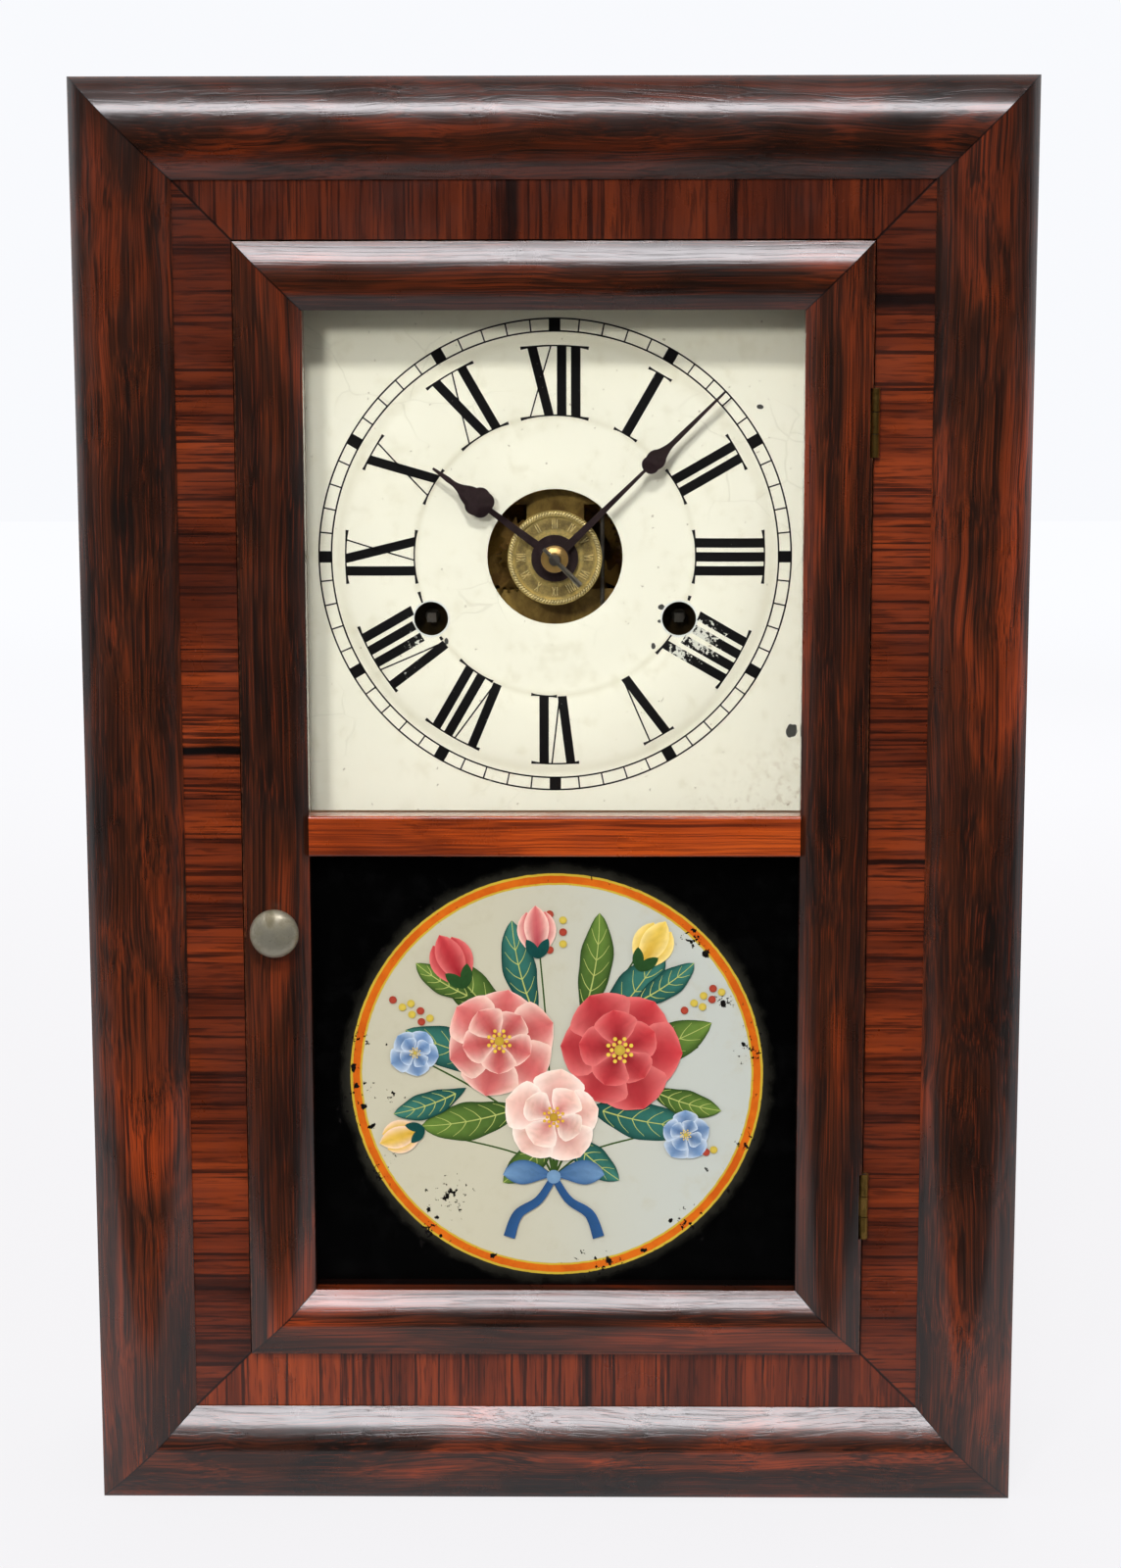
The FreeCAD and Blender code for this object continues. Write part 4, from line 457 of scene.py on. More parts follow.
def banding(name, across, cuts, seed, shades):
    """Cross-banded veneer: grain across the band, in pieces with a break at each joint along it.
    across is the grain's axis; cuts are (place, half width, darkness, side), side -1 for the lower half."""
    dark, middle, light = shades
    g = Graph(name)
    base = g.place()
    parts = g.split(base)
    run, other, halfway = parts["Z"], parts["X"], 0.0
    if across == 2:
        run, other, halfway = parts["X"], parts["Z"], HEIGHT / 2
    shifted = g.plus(run, g.times(g.noise(base, 120.0, 2.0), 0.0012))
    count = 0.0
    seam = 0.0
    for spot, half, depth, side in cuts:
        gate = g.past(g.times(g.minus(other, halfway), side), 0.0)
        count = g.plus(count, g.times(g.past(shifted, spot), gate))
        line = g.ramp(g.apart(shifted, spot + 0.0006), half * 0.4, half * 1.4, depth, 0.0)
        seam = g.most(seam, g.times(line, gate))
    sideways, upright = to_edges(g, parts, OUTER_CORNERS)
    seam = g.most(seam, g.ramp(g.apart(sideways, upright), 0.0002, 0.0008, 0.9, 0.0))
    spot = g.place(source=g.jump(base, count, (3.17, 1.31, 2.73)), move=(seed, seed * 0.7, seed * 1.3))
    lines = g.grain(spot, across, 320.0, 8.0, 5.0, 0.66, 0.3)
    threads = g.grain(spot, across, 760.0, 12.0, 4.0, 0.62)
    broad = g.grain(spot, across, 42.0, 6.0, 3.0, 0.55, 0.5)
    patch = g.grain(spot, across, 9.0, 9.0)
    pores = g.grain(spot, across, 1500.0, 90.0)
    tone = g.total((lines, 0.42), (broad, 0.48), (patch, 0.22))
    colour = g.colours(tone, (0.40, dark), (0.56, middle), (0.74, light))
    colour = g.over(colour, dark, pores, 0.36, 0.46, 0.5, 0.0)
    colour = g.over(colour, dark, threads, 0.40, 0.48, 0.85, 0.0)
    colour = g.over(colour, dark, g.noise(base, 9.0, 3.0), 0.46, 0.74, 0.0, 0.5)
    # Painted shade: the band darkens towards the top, in the shadow of the moulding above it.
    colour = g.over(colour, dark, parts["Z"], 0.32, 0.445, 0.0, 0.6)
    colour = g.mix(seam, colour, rgb(12, 7, 6))
    normal = g.bump(g.minus(g.noise(spot, 90.0, 3.0), g.times(seam, 0.6)), 0.14, 0.0006)
    shine = g.ramp(g.noise(base, 40.0, 4.0, 0.6), 0.3, 0.75, 0.26, 0.42)
    return g.finish(colour, shine, normal, Coat_Weight=0.5, Coat_Roughness=0.22)


def plain_board(name, along, seed, dark, light, roughness=0.62, gloss=0.0):
    """Plain sawn or stained board with long soft grain along one axis."""
    g = Graph(name)
    base = g.place(move=(seed, seed * 0.6, seed * 1.9))
    grain = g.grain(base, along, 95.0, 3.2, 6.0, 0.62, 0.7)
    fine = g.grain(base, along, 900.0, 22.0)
    stain = g.noise(base, 7.0, 4.0)
    tone = g.total((grain, 0.62), (fine, 0.2), (stain, 0.28))
    colour = g.mix(g.ramp(tone, 0.38, 0.72), dark, light)
    colour = g.over(colour, dark, stain, 0.55, 0.8, 0.0, 0.45)
    normal = g.bump(g.plus(grain, g.times(fine, 0.5)), 0.25, 0.0006)
    rough = g.ramp(fine, 0.2, 0.8, roughness - 0.08, roughness + 0.1)
    return g.finish(colour, rough, normal, Coat_Weight=gloss, Coat_Roughness=0.25)


def back_boards(dark, light):
    """Three sawn pine boards edge to edge, with rust-stained nail heads round the rim and age stains."""
    low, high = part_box("back_board")
    g = Graph("pine_back")
    base = g.place()
    parts = g.split(base)
    run = g.plus(parts["X"], g.times(g.noise(base, 30.0, 2.0), 0.0012))
    board = 0.0
    gap = 0.0
    for joint in BACK_JOINTS:
        board = g.plus(board, g.past(run, joint))
        gap = g.most(gap, g.fall(g.apart(run, joint), 0.0003, 0.0009))
    moved = g.jump(base, board, (0.7, 0.0, 1.9))
    bent = g.bend(moved, g.noise(g.stretched(moved, 2, 9.0, 3.0), 1.0, 2.0, output="Color"), 0.05)
    rings = g.grain(bent, 2, 130.0, 2.4)
    fine = g.grain(bent, 2, 900.0, 16.0, 3.0)
    stain = g.noise(base, 8.0, 5.0, 0.6)
    tone = g.total((rings, 0.7), (fine, 0.3))
    colour = g.mix(g.ramp(tone, 0.36, 0.66), dark, light)
    colour = g.over(colour, rgb(134, 96, 60), board, 0.0, 2.0, 0.0, 0.3, False)
    colour = g.over(colour, rgb(98, 66, 40), stain, 0.5, 0.74, 0.0, 0.55)
    saw = g.grain(base, 2, 3.0, 620.0)
    colour = g.over(colour, dark, saw, 0.55, 0.75, 0.0, 0.18)
    columns = (low[0] + NAIL_INSET, high[0] - NAIL_INSET)
    rows = (low[2] + NAIL_INSET, high[2] - NAIL_INSET)
    tall = high[2] - low[2]
    nails = [(x, low[2] + share * tall) for x in columns for share in NAIL_SHARES]
    nails += [(x, z) for z in rows for x in NAIL_PLACES]
    head = 0.0
    rust = 0.0
    for x, z in nails:
        away = g.away(parts, x, z)
        head = g.most(head, g.fall(away, NAIL_HEAD, 0.0019))
        rust = g.most(rust, g.fall(away, NAIL_HEAD, 0.006))
    colour = g.mix(g.times(rust, 0.5), colour, rgb(70, 44, 28))
    colour = g.mix(head, colour, g.mix(fine, rgb(44, 36, 32), rgb(78, 58, 46)))
    colour = g.mix(gap, colour, rgb(22, 14, 9))
    height = g.total((tone, 0.5), (saw, 0.3), (gap, -1.0), (head, -0.5))
    return g.finish(colour, g.ramp(tone, 0.2, 0.8, 0.66, 0.82), g.bump(height, 0.3, 0.0007))


# Metals

def aged_metal(name, clean, stained, roughness, seed, patina=0.5, grain_size=240.0, metal_share=1.0, oil=()):
    """Worn metal with stains, fine scratches and duller patches; oil lists (x, z, reach) of dark old oil."""
    g = Graph(name)
    base = g.place(move=(seed, seed * 0.8, seed * 1.6))
    blotch = g.noise(base, grain_size * 0.35, 5.0, 0.62, 0.4)
    speck = g.noise(base, grain_size * 4.0, 3.0, 0.6)
    scratch = g.grain(base, 1, 900.0, 120.0, 3.0, 0.6)
    low = 0.72 - patina * 0.45
    share = g.ramp(blotch, low - 0.12, low + 0.16)
    colour = g.mix(share, clean, stained)
    colour = g.over(colour, stained, speck, 0.60, 0.72, 0.0, 0.5)
    parts = g.split(g.place())
    for x, z, reach in oil:
        away = g.plus(g.away(parts, x, z), g.times(blotch, 0.004))
        colour = g.over(colour, rgb(20, 15, 9), away, reach * 0.7, reach + 0.002, 0.94, 0.0)
    rough = g.plus(g.ramp(share, 0.0, 1.0, roughness, roughness + 0.22), g.times(scratch, 0.1))
    metal = g.ramp(share, 0.0, 1.0, metal_share, metal_share * 0.7)
    height = g.total((scratch, 0.4), (speck, 0.6))
    return g.finish(colour, rough, g.bump(height, 0.12, 0.0003), Metallic=metal)


# Materials of the CAD nodes

OUTER_SHADES = (rgb(25, 15, 11), rgb(70, 31, 14), rgb(144, 54, 16))
BAND_SHADES = (rgb(36, 13, 7), rgb(112, 42, 14), rgb(160, 64, 18))
BAR_SHADES = (rgb(88, 30, 10), rgb(172, 66, 14), rgb(198, 84, 20))
CASE_STAIN = (rgb(30, 15, 10), rgb(72, 38, 22), 0.5, 0.25)
STILE_CUTS = (
    (0.3259, 0.0008, 0.7, -1), (0.2555, 0.0018, 1.0, -1), (0.1472, 0.0008, 0.7, -1),
    (0.0742, 0.0028, 0.75, -1),
    (0.4004, 0.0024, 0.9, 1), (0.3319, 0.0008, 0.7, 1), (0.2185, 0.0011, 0.8, 1), (0.1525, 0.0008, 0.7, 1),
)
RAIL_CUTS = (
    (-0.0132, 0.0024, 0.9, 1), (0.0575, 0.0011, 0.8, 1), (-0.0643, 0.0008, 0.7, -1),
    (0.0109, 0.0020, 0.85, -1),
)
PATINATED = (rgb(206, 172, 92), rgb(122, 94, 48), 0.40, 2.7, 0.6, 160.0)
OIL_STAINS = (
    (-WINDING_X, WINDING_Z, 0.011), (WINDING_X, WINDING_Z, 0.011), (-0.019, DIAL_Z + 0.003, 0.007),
    (0.019, DIAL_Z - 0.001, 0.007),
)
outer_level = rosewood("rosewood_outer_level", 0, 0.7, OUTER_SHADES, 1.5, 0.8, OUTER_CORNERS)
outer_upright = rosewood("rosewood_outer_upright", 2, 2.1, OUTER_SHADES, 1.0, 1.0, OUTER_CORNERS)
door_level = rosewood("rosewood_door_level", 0, 4.4, OUTER_SHADES, 0.5, 1.4, DOOR_CORNERS)
door_upright = rosewood("rosewood_door_upright", 2, 6.2, OUTER_SHADES, 0.5, 1.4, DOOR_CORNERS)
brass = aged_metal("aged_brass", rgb(196, 158, 84), rgb(112, 82, 40), 0.30, 1.1)
washer_brass = aged_metal("bright_brass", rgb(222, 184, 118), rgb(176, 132, 74), 0.30, 3.3, 0.3)
white_metal = aged_metal("white_metal", rgb(188, 182, 162), rgb(124, 116, 92), 0.34, 6.6, 0.5, 300.0, 0.75)
for node_material, node_names in (
    (outer_level, ("outer_moulding_rails",)),
    (outer_upright, ("outer_moulding_stiles",)),
    (door_level, ("door_rail_top", "door_rail_bottom")),
    (door_upright, ("door_stile_left", "door_stile_right")),
    (banding("banding_upright", 0, STILE_CUTS, 1.3, BAND_SHADES), ("front_frame_stiles",)),
    (banding("banding_level", 2, RAIL_CUTS, 5.1, BAND_SHADES), ("front_frame_rails",)),
    (rosewood("crossbar_veneer", 0, 3.3, BAR_SHADES, 0.4, 1.1), ("door_crossbar",)),
    (plain_board("case_stain_upright", 2, 2.2, *CASE_STAIN), ("case_left_side", "case_right_side")),
    (plain_board("case_stain_level", 0, 4.2, *CASE_STAIN), ("case_top_board", "case_bottom_board")),
    (plain_board("pine_upright", 2, 7.7, rgb(132, 92, 54), rgb(196, 156, 106), 0.72), ("dial_battens",)),
    (plain_board("pine_strips", 0, 8.7, rgb(70, 42, 24), rgb(128, 86, 50), 0.7), ("glazing_strips",)),
    (back_boards(rgb(128, 88, 52), rgb(190, 150, 102)), ("back_board",)),
    (aged_metal("oil_stained_brass", *PATINATED, 0.5, OIL_STAINS), ("movement_front_plate",)),
    (aged_metal("patinated_brass", *PATINATED, 0.6), ("movement_back_plate", "strike_fly", "alarm_frame")),
    (brass, (
        "hinge_case_leaves", "hinge_door_leaves", "cannon_pinion", "pendulum_bob", "time_great_wheel",
        "time_second_wheel", "centre_wheel", "third_wheel", "escape_wheel", "minute_wheel", "hour_wheel",
        "strike_great_wheel", "strike_second_wheel", "strike_pin_wheel", "count_wheel",
    )),
    (washer_brass, ("hand_washer",)),
    (white_metal, ("door_knob",)),
    (aged_metal("worn_steel", rgb(150, 146, 138), rgb(92, 84, 74), 0.34, 4.9), (
        "hinge_pins", "latch_hook", "hand_pin", "time_winding_arbor", "strike_winding_arbor",
        "centre_arbor", "movement_pillars", "pillar_nuts", "mainsprings", "suspension_stud", "verge",
        "pendulum_rod", "strike_hammer", "alarm_hammer", "alarm_winding_arbor", "gong_base",
    )),
    (aged_metal("browned_steel", rgb(92, 74, 78), rgb(58, 45, 45), 0.36, 5.8, 0.6), (
        "hour_hand", "minute_hand",
    )),
    (aged_metal("blackened_steel", rgb(44, 42, 44), rgb(30, 26, 24), 0.4, 9.1), ("gong_coil",)),
):
    dress(node_material, node_names)


# Moulding sticks: the CAD nodes' sections as smooth S curves, mitred at the corners

OUTER_SECTION = (
    (0.0, 0.08), (0.025, 0.18), (0.07, 0.325), (0.12, 0.45), (0.17, 0.56), (0.22, 0.67), (0.28, 0.785),
    (0.34, 0.875), (0.40, 0.94), (0.46, 0.98), (0.53, 1.0), (0.60, 0.985), (0.66, 0.93), (0.72, 0.83),
    (0.78, 0.695), (0.84, 0.54), (0.90, 0.365), (0.95, 0.21), (1.0, 0.07),
)
DOOR_SECTION = (
    (0.0, 0.42), (0.05, 0.505), (0.11, 0.605), (0.17, 0.70), (0.23, 0.79), (0.29, 0.868), (0.35, 0.93),
    (0.41, 0.972), (0.47, 0.996), (0.52, 1.0), (0.58, 0.97), (0.64, 0.91), (0.70, 0.825), (0.76, 0.71),
    (0.82, 0.575), (0.87, 0.45), (0.92, 0.32), (0.96, 0.21), (1.0, 0.10),
)


def smooth_path(path, steps):
    """Points on a smooth curve through the points of path, with so many steps from each to the next."""
    made = []
    last = len(path) - 1
    for index in range(last):
        before, start, end, after = (
            Vector(path[min(max(index + ahead, 0), last)]) for ahead in (-1, 0, 1, 2)
        )
        square = 2 * before - 5 * start + 4 * end - after
        cube = 3 * start - before - 3 * end + after
        for step in range(steps):
            t = step / steps
            made.append(0.5 * (2 * start + (end - before) * t + square * t * t + cube * t ** 3))
    made.append(Vector(path[-1]))
    return made


def face_of(shares, width, rise):
    """A moulding's face, each point a distance in from its outer edge and a depth."""
    return [(spot.x * width, BAND_Y - spot.y * rise) for spot in smooth_path(shares, 4)]


def stick(section, low, high, side, stops=()):
    """One mitred stick of a frame with corners low and high; side is left, right, top or bottom.
    stops are the lengths where a mortise for a hinge is cut into its outer edge."""
    points, faces = [], []
    upright = side in ("left", "right")
    start, end = (low[1], high[1]) if upright else (low[0], high[0])
    cuts = [(start + (end - start) * step / STICK_STEPS, False) for step in range(STICK_STEPS + 1)]
    for begin, finish in stops:
        cuts = [cut for cut in cuts if not begin - MORTISE_CLEAR < cut[0] < finish + MORTISE_CLEAR]
        cuts += [(begin - MORTISE_WALL, False), (begin, True), (finish, True), (finish + MORTISE_WALL, False)]
    cuts.sort()
    for run, notched in cuts:
        for inward, depth in section:
            along = min(max(run, start + inward), end - inward)
            reach = min(high[0] - inward, MORTISE_X) if notched else high[0] - inward
            points.append({
                "left": (low[0] + inward, depth, along),
                "right": (reach, depth, along),
                "bottom": (along, depth, low[1] + inward),
                "top": (along, depth, high[1] - inward),
            }[side])
    wide = len(section)
    last = (len(cuts) - 1) * wide
    for first in range(0, last, wide):
        for column in range(wide):
            a = first + column
            b = first + (column + 1) % wide
            faces.append((a, b, b + wide, a + wide))
    faces.append(tuple(range(wide - 1, -1, -1)))
    faces.append(tuple(range(last, last + wide)))
    if side in ("right", "bottom"):
        faces = [face[::-1] for face in faces]
    return points, faces


def sticks(name, node, sides, section, low, high, body, material, stops=()):
    """One piece that stands for a CAD node of one or two sticks, smooth over its face, sharp at its edges."""
    points, faces = [], []
    for side in sides:
        more_points, more_faces = stick(section, low, high, side, stops)
        first = len(points)
        points += more_points
        faces += [tuple(corner + first for corner in face) for face in more_faces]
    made = piece(name, points, faces, body, material, smooth=True)
    made.data.set_sharp_from_angle(angle=WOOD_EDGE)
    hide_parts(node)


outer_section = face_of(OUTER_SECTION, OGEE, OGEE_RISE) + [(OGEE, BAND_Y), (0.0, BAND_Y)]
door_section = face_of(DOOR_SECTION, DOOR_RAIL, DOOR_RISE) + [
    (DOOR_RAIL, REBATE_Y), (DOOR_RAIL - REBATE, REBATE_Y), (DOOR_RAIL - REBATE, DOOR_BACK), (0.0, DOOR_BACK)
]
outer_frame = (outer_section, (-HALF_WIDTH, 0.0), (HALF_WIDTH, HEIGHT), "case")
door_frame = (door_section, (-DOOR_HALF, DOOR_LOW), (DOOR_HALF, DOOR_HIGH), "door")
for stick_name, stick_node, stick_sides, stick_frame, stick_wood, stick_stops in (
    ("outer_rails", "outer_moulding_rails", ("top", "bottom"), outer_frame, outer_level, ()),
    ("outer_stiles", "outer_moulding_stiles", ("left", "right"), outer_frame, outer_upright, ()),
    ("door_moulding_top", "door_rail_top", ("top",), door_frame, door_level, ()),
    ("door_moulding_bottom", "door_rail_bottom", ("bottom",), door_frame, door_level, ()),
    ("door_moulding_left", "door_stile_left", ("left",), door_frame, door_upright, ()),
    ("door_moulding_right", "door_stile_right", ("right",), door_frame, door_upright, MORTISES),
):
    sticks(stick_name, stick_node, stick_sides, *stick_frame, stick_wood, stick_stops)


# Turned pieces: the knob with its shank, and the domed hand washer

KNOB_SHARES = (
    (0.47, 0.0), (0.44, 0.06), (0.45, 0.14), (0.56, 0.21), (0.74, 0.27), (0.90, 0.35), (0.975, 0.44),
    (1.0, 0.53), (0.985, 0.62), (0.94, 0.71), (0.86, 0.79), (0.74, 0.865), (0.58, 0.925), (0.40, 0.967),
    (0.20, 0.992), (0.0, 1.0),
)
WASHER_SHARES = (
    (1.0, 0.0), (0.985, 0.12), (0.93, 0.30), (0.83, 0.50), (0.70, 0.70), (0.57, 0.87), (0.48, 0.97),
    (0.42, 1.0),
)


def circle(x, z, radius, depth, count):
    """Points round a circle that faces front."""
    angles = [step * math.tau / count for step in range(count)]
    return [(x + math.cos(angle) * radius, depth, z + math.sin(angle) * radius) for angle in angles]


def lathe(name, section, x, z, body, material, node, sides=72):
    """Turn (radius, depth) points about an axis along Y; a radius of zero closes the end."""
    points, faces = [], []
    rings = []
    for radius, depth in section:
        count = sides if radius else 1
        rings.append(list(range(len(points), len(points) + count)))
        points += circle(x, z, radius, depth, count)
    for before, after in zip(rings, rings[1:]):
        for step in range(sides):
            ahead = (step + 1) % sides
            if len(before) == 1:
                faces.append((before[0], after[ahead], after[step]))
            elif len(after) == 1:
                faces.append((before[step], before[ahead], after[0]))
            else:
                faces.append((before[step], before[ahead], after[ahead], after[step]))
    made = piece(name, points, faces, body, material, smooth=True)
    made.data.set_sharp_from_angle(angle=TURNED_EDGE)
    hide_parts(node)


knob_low, knob_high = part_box("door_knob")
knob_section = [(0.0, KNOB_BACK), (KNOB_SHANK, KNOB_BACK), (KNOB_SHANK, KNOB_NECK)]
knob_section += [
    (KNOB_RADIUS * out, KNOB_NECK + (KNOB_FRONT - KNOB_NECK) * along) for out, along in KNOB_SHARES
]
knob_x, knob_z = (knob_low[0] + knob_high[0]) / 2, (knob_low[2] + knob_high[2]) / 2
lathe("turned_knob", knob_section, knob_x, knob_z, "latch", white_metal, "door_knob")
washer_low, washer_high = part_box("hand_washer")
washer_thick = washer_high[1] - washer_low[1]
washer_section = [(WASHER_BORE, washer_high[1])]
washer_section += [(WASHER_RADIUS * out, washer_high[1] - washer_thick * rise) for out, rise in WASHER_SHARES]
washer_section.append((WASHER_BORE, washer_high[1] - washer_thick * 0.96))
lathe("domed_washer", washer_section, 0.0, DIAL_Z, "hands_arbor", washer_brass, "hand_washer")


# Clear glass of the upper pane

def clear_glass():
    """Thin clear glass with a faint gloss and a little dust; it casts no shadow."""
    g = Graph("clear_glass")
    base = g.place()
    normal = g.bump(g.noise(base, 14.0, 2.0), 0.05, 0.001)
    gloss = g.add("ShaderNodeBsdfGlossy", Color=(1.0, 1.0, 1.0), Roughness=0.02, Normal=normal)
    clear = g.add("ShaderNodeBsdfTransparent", Color=rgb(254, 254, 253))
    edge = g.add("ShaderNodeFresnel", IOR=1.45, Normal=normal).outputs[0]
    share = g.times(edge, g.ramp(g.noise(base, 60.0, 5.0, 0.6), 0.3, 0.8, 0.5, 0.7))
    lit = g.minus(1.0, g.add("ShaderNodeLightPath").outputs["Is Shadow Ray"])
    g.show(g.blend(g.times(share, lit), clear, gloss))
    return g.material


dress(clear_glass(), ("dial_glass",))


# Painted tablet: black ground, fuzzy halo, yellow and orange rings, off-white centre, and chips

CHIP_PLACES = (
    (-0.0665, 0.137, 0.012), (-0.067, 0.158, 0.007), (-0.0605, 0.112, 0.010), (-0.042, 0.091, 0.010),
    (0.066, 0.156, 0.009), (0.064, 0.122, 0.007), (0.014, 0.0775, 0.011), (-0.082, 0.223, 0.008),
    (0.045, 0.094, 0.008), (-0.04, 0.202, 0.007), (0.046, 0.192, 0.008), (-0.036, 0.103, 0.011),
    (0.056, 0.171, 0.006), (-0.054, 0.137, 0.006),
)
FLECKS = (
    (-0.061, 0.1275, 0.0011), (-0.0639, 0.1346, 0.0009), (0.0556, 0.17, 0.0011), (0.0438, 0.1204, 0.0007),
    (0.0627, 0.1558, 0.0009), (0.05, 0.187, 0.0013), (0.0177, 0.0813, 0.0013), (0.0296, 0.0849, 0.001),
    (-0.0426, 0.0991, 0.0008), (-0.0396, 0.0962, 0.0007), (-0.0568, 0.1878, 0.0009), (-0.056, 0.156, 0.0006),
    (0.051, 0.113, 0.0006), (-0.0672, 0.148, 0.0012), (-0.0664, 0.142, 0.001), (0.0668, 0.139, 0.0009),
    (-0.021, 0.083, 0.0009), (0.058, 0.106, 0.0008), (-0.054, 0.118, 0.0006), (0.0386, 0.095, 0.0006),
)


def near_places(g, parts, places):
    """A share that falls from depth at each (x, z, reach, depth) to nothing at its reach."""
    made = 0.0
    for x, z, reach, depth in places:
        made = g.most(made, g.ramp(g.away(parts, x, z), 0.0, reach, depth, 0.0, False))
    return made


def tablet_paint():
    """The paint behind the lower pane, ringed and chipped, under a glossy coat."""
    g = Graph("tablet_paint")
    base = g.place()
    parts = g.split(base)
    out = g.away(parts, CIRCLE_X, CIRCLE_Z)
    cloud = g.noise(base, 130.0, 4.0, 0.6)
    black = g.mix(g.ramp(cloud, 0.45, 0.75), BLACK, rgb(4, 4, 4))
    fade = g.ramp(out, CIRCLE_RADIUS, CIRCLE_RADIUS + 0.0062, 1.0, 0.0, False)
    halo = g.ramp(g.plus(fade, g.times(g.minus(cloud, 0.5), 0.9)), 0.3, 1.15, 0.0, 0.5)
    colour = g.mix(halo, black, rgb(64, 62, 52))
    edge = g.plus(out, g.times(g.minus(g.noise(base, 420.0, 3.0), 0.5), 0.0004))
    yellow = g.mix(cloud, rgb(206, 178, 60), rgb(188, 152, 44))
    orange = g.mix(g.ramp(cloud, 0.3, 0.7), rgb(214, 106, 22), rgb(196, 86, 18))
    cool = g.ramp(g.minus(parts["X"], CIRCLE_X), -0.03, 0.055)
    centre = g.mix(cool, rgb(196, 190, 166), rgb(192, 195, 186))
    centre = g.mix(g.ramp(cloud, 0.5, 0.8, 0.0, 0.4), centre, rgb(184, 176, 148))
    for inset, paint in ((0.0, yellow), (0.0008, orange), (0.0032, yellow), (0.0039, centre)):
        limit = CIRCLE_RADIUS - inset
        colour = g.over(colour, paint, edge, limit - 0.0001, limit + 0.0001, 1.0, 0.0)
    chip_noise = g.noise(base, 520.0, 4.0, 0.62)
    chips = near_places(g, parts, [(*place, 1.0) for place in CHIP_PLACES])
    chipped = g.ramp(g.plus(g.times(chips, 0.16), chip_noise), 0.70, 0.715)
    chipped = g.times(chipped, g.past(chips, 0.02))
    ragged = g.times(g.minus(chip_noise, 0.5), 0.0042)
    for x, z, reach in FLECKS:
        fleck = g.ramp(g.plus(g.away(parts, x, z), ragged), reach * 0.8, reach, 1.0, 0.0)
        chipped = g.most(chipped, fleck)
    colour = g.mix(chipped, colour, rgb(20, 17, 16))
    speck = g.ramp(g.noise(base, 700.0, 2.0), 0.70, 0.73)
    near_ring = g.ramp(out, CIRCLE_RADIUS - 0.006, CIRCLE_RADIUS, 0.0, 0.8)
    inside_ring = g.fall(out, CIRCLE_RADIUS, CIRCLE_RADIUS + 0.0004)
    colour = g.mix(g.times(speck, g.times(near_ring, inside_ring)), colour, rgb(30, 22, 18))
    return g.finish(colour, 0.4, None, Coat_Weight=1.0, Coat_Roughness=0.03, Coat_IOR=1.5,
                    Coat_Normal=g.bump(g.noise(base, 12.0, 2.0), 0.06, 0.001), Specular_IOR_Level=0.1)


dress(tablet_paint(), ("tablet_glass",))


# Dial sheet: cream paint with shade, stains, fine cracks and chips

DIAL_CHIPS = (
    (0.0672, 0.3655, 0.0015, 1.4), (0.0786, 0.2585, 0.0024, 0.8), (0.0352, 0.2998, 0.0014, 1.0),
    (0.0345, 0.2950, 0.0009, 1.0), (0.0325, 0.2868, 0.0009, 0.7), (-0.0360, 0.2884, 0.0008, 0.6),
)


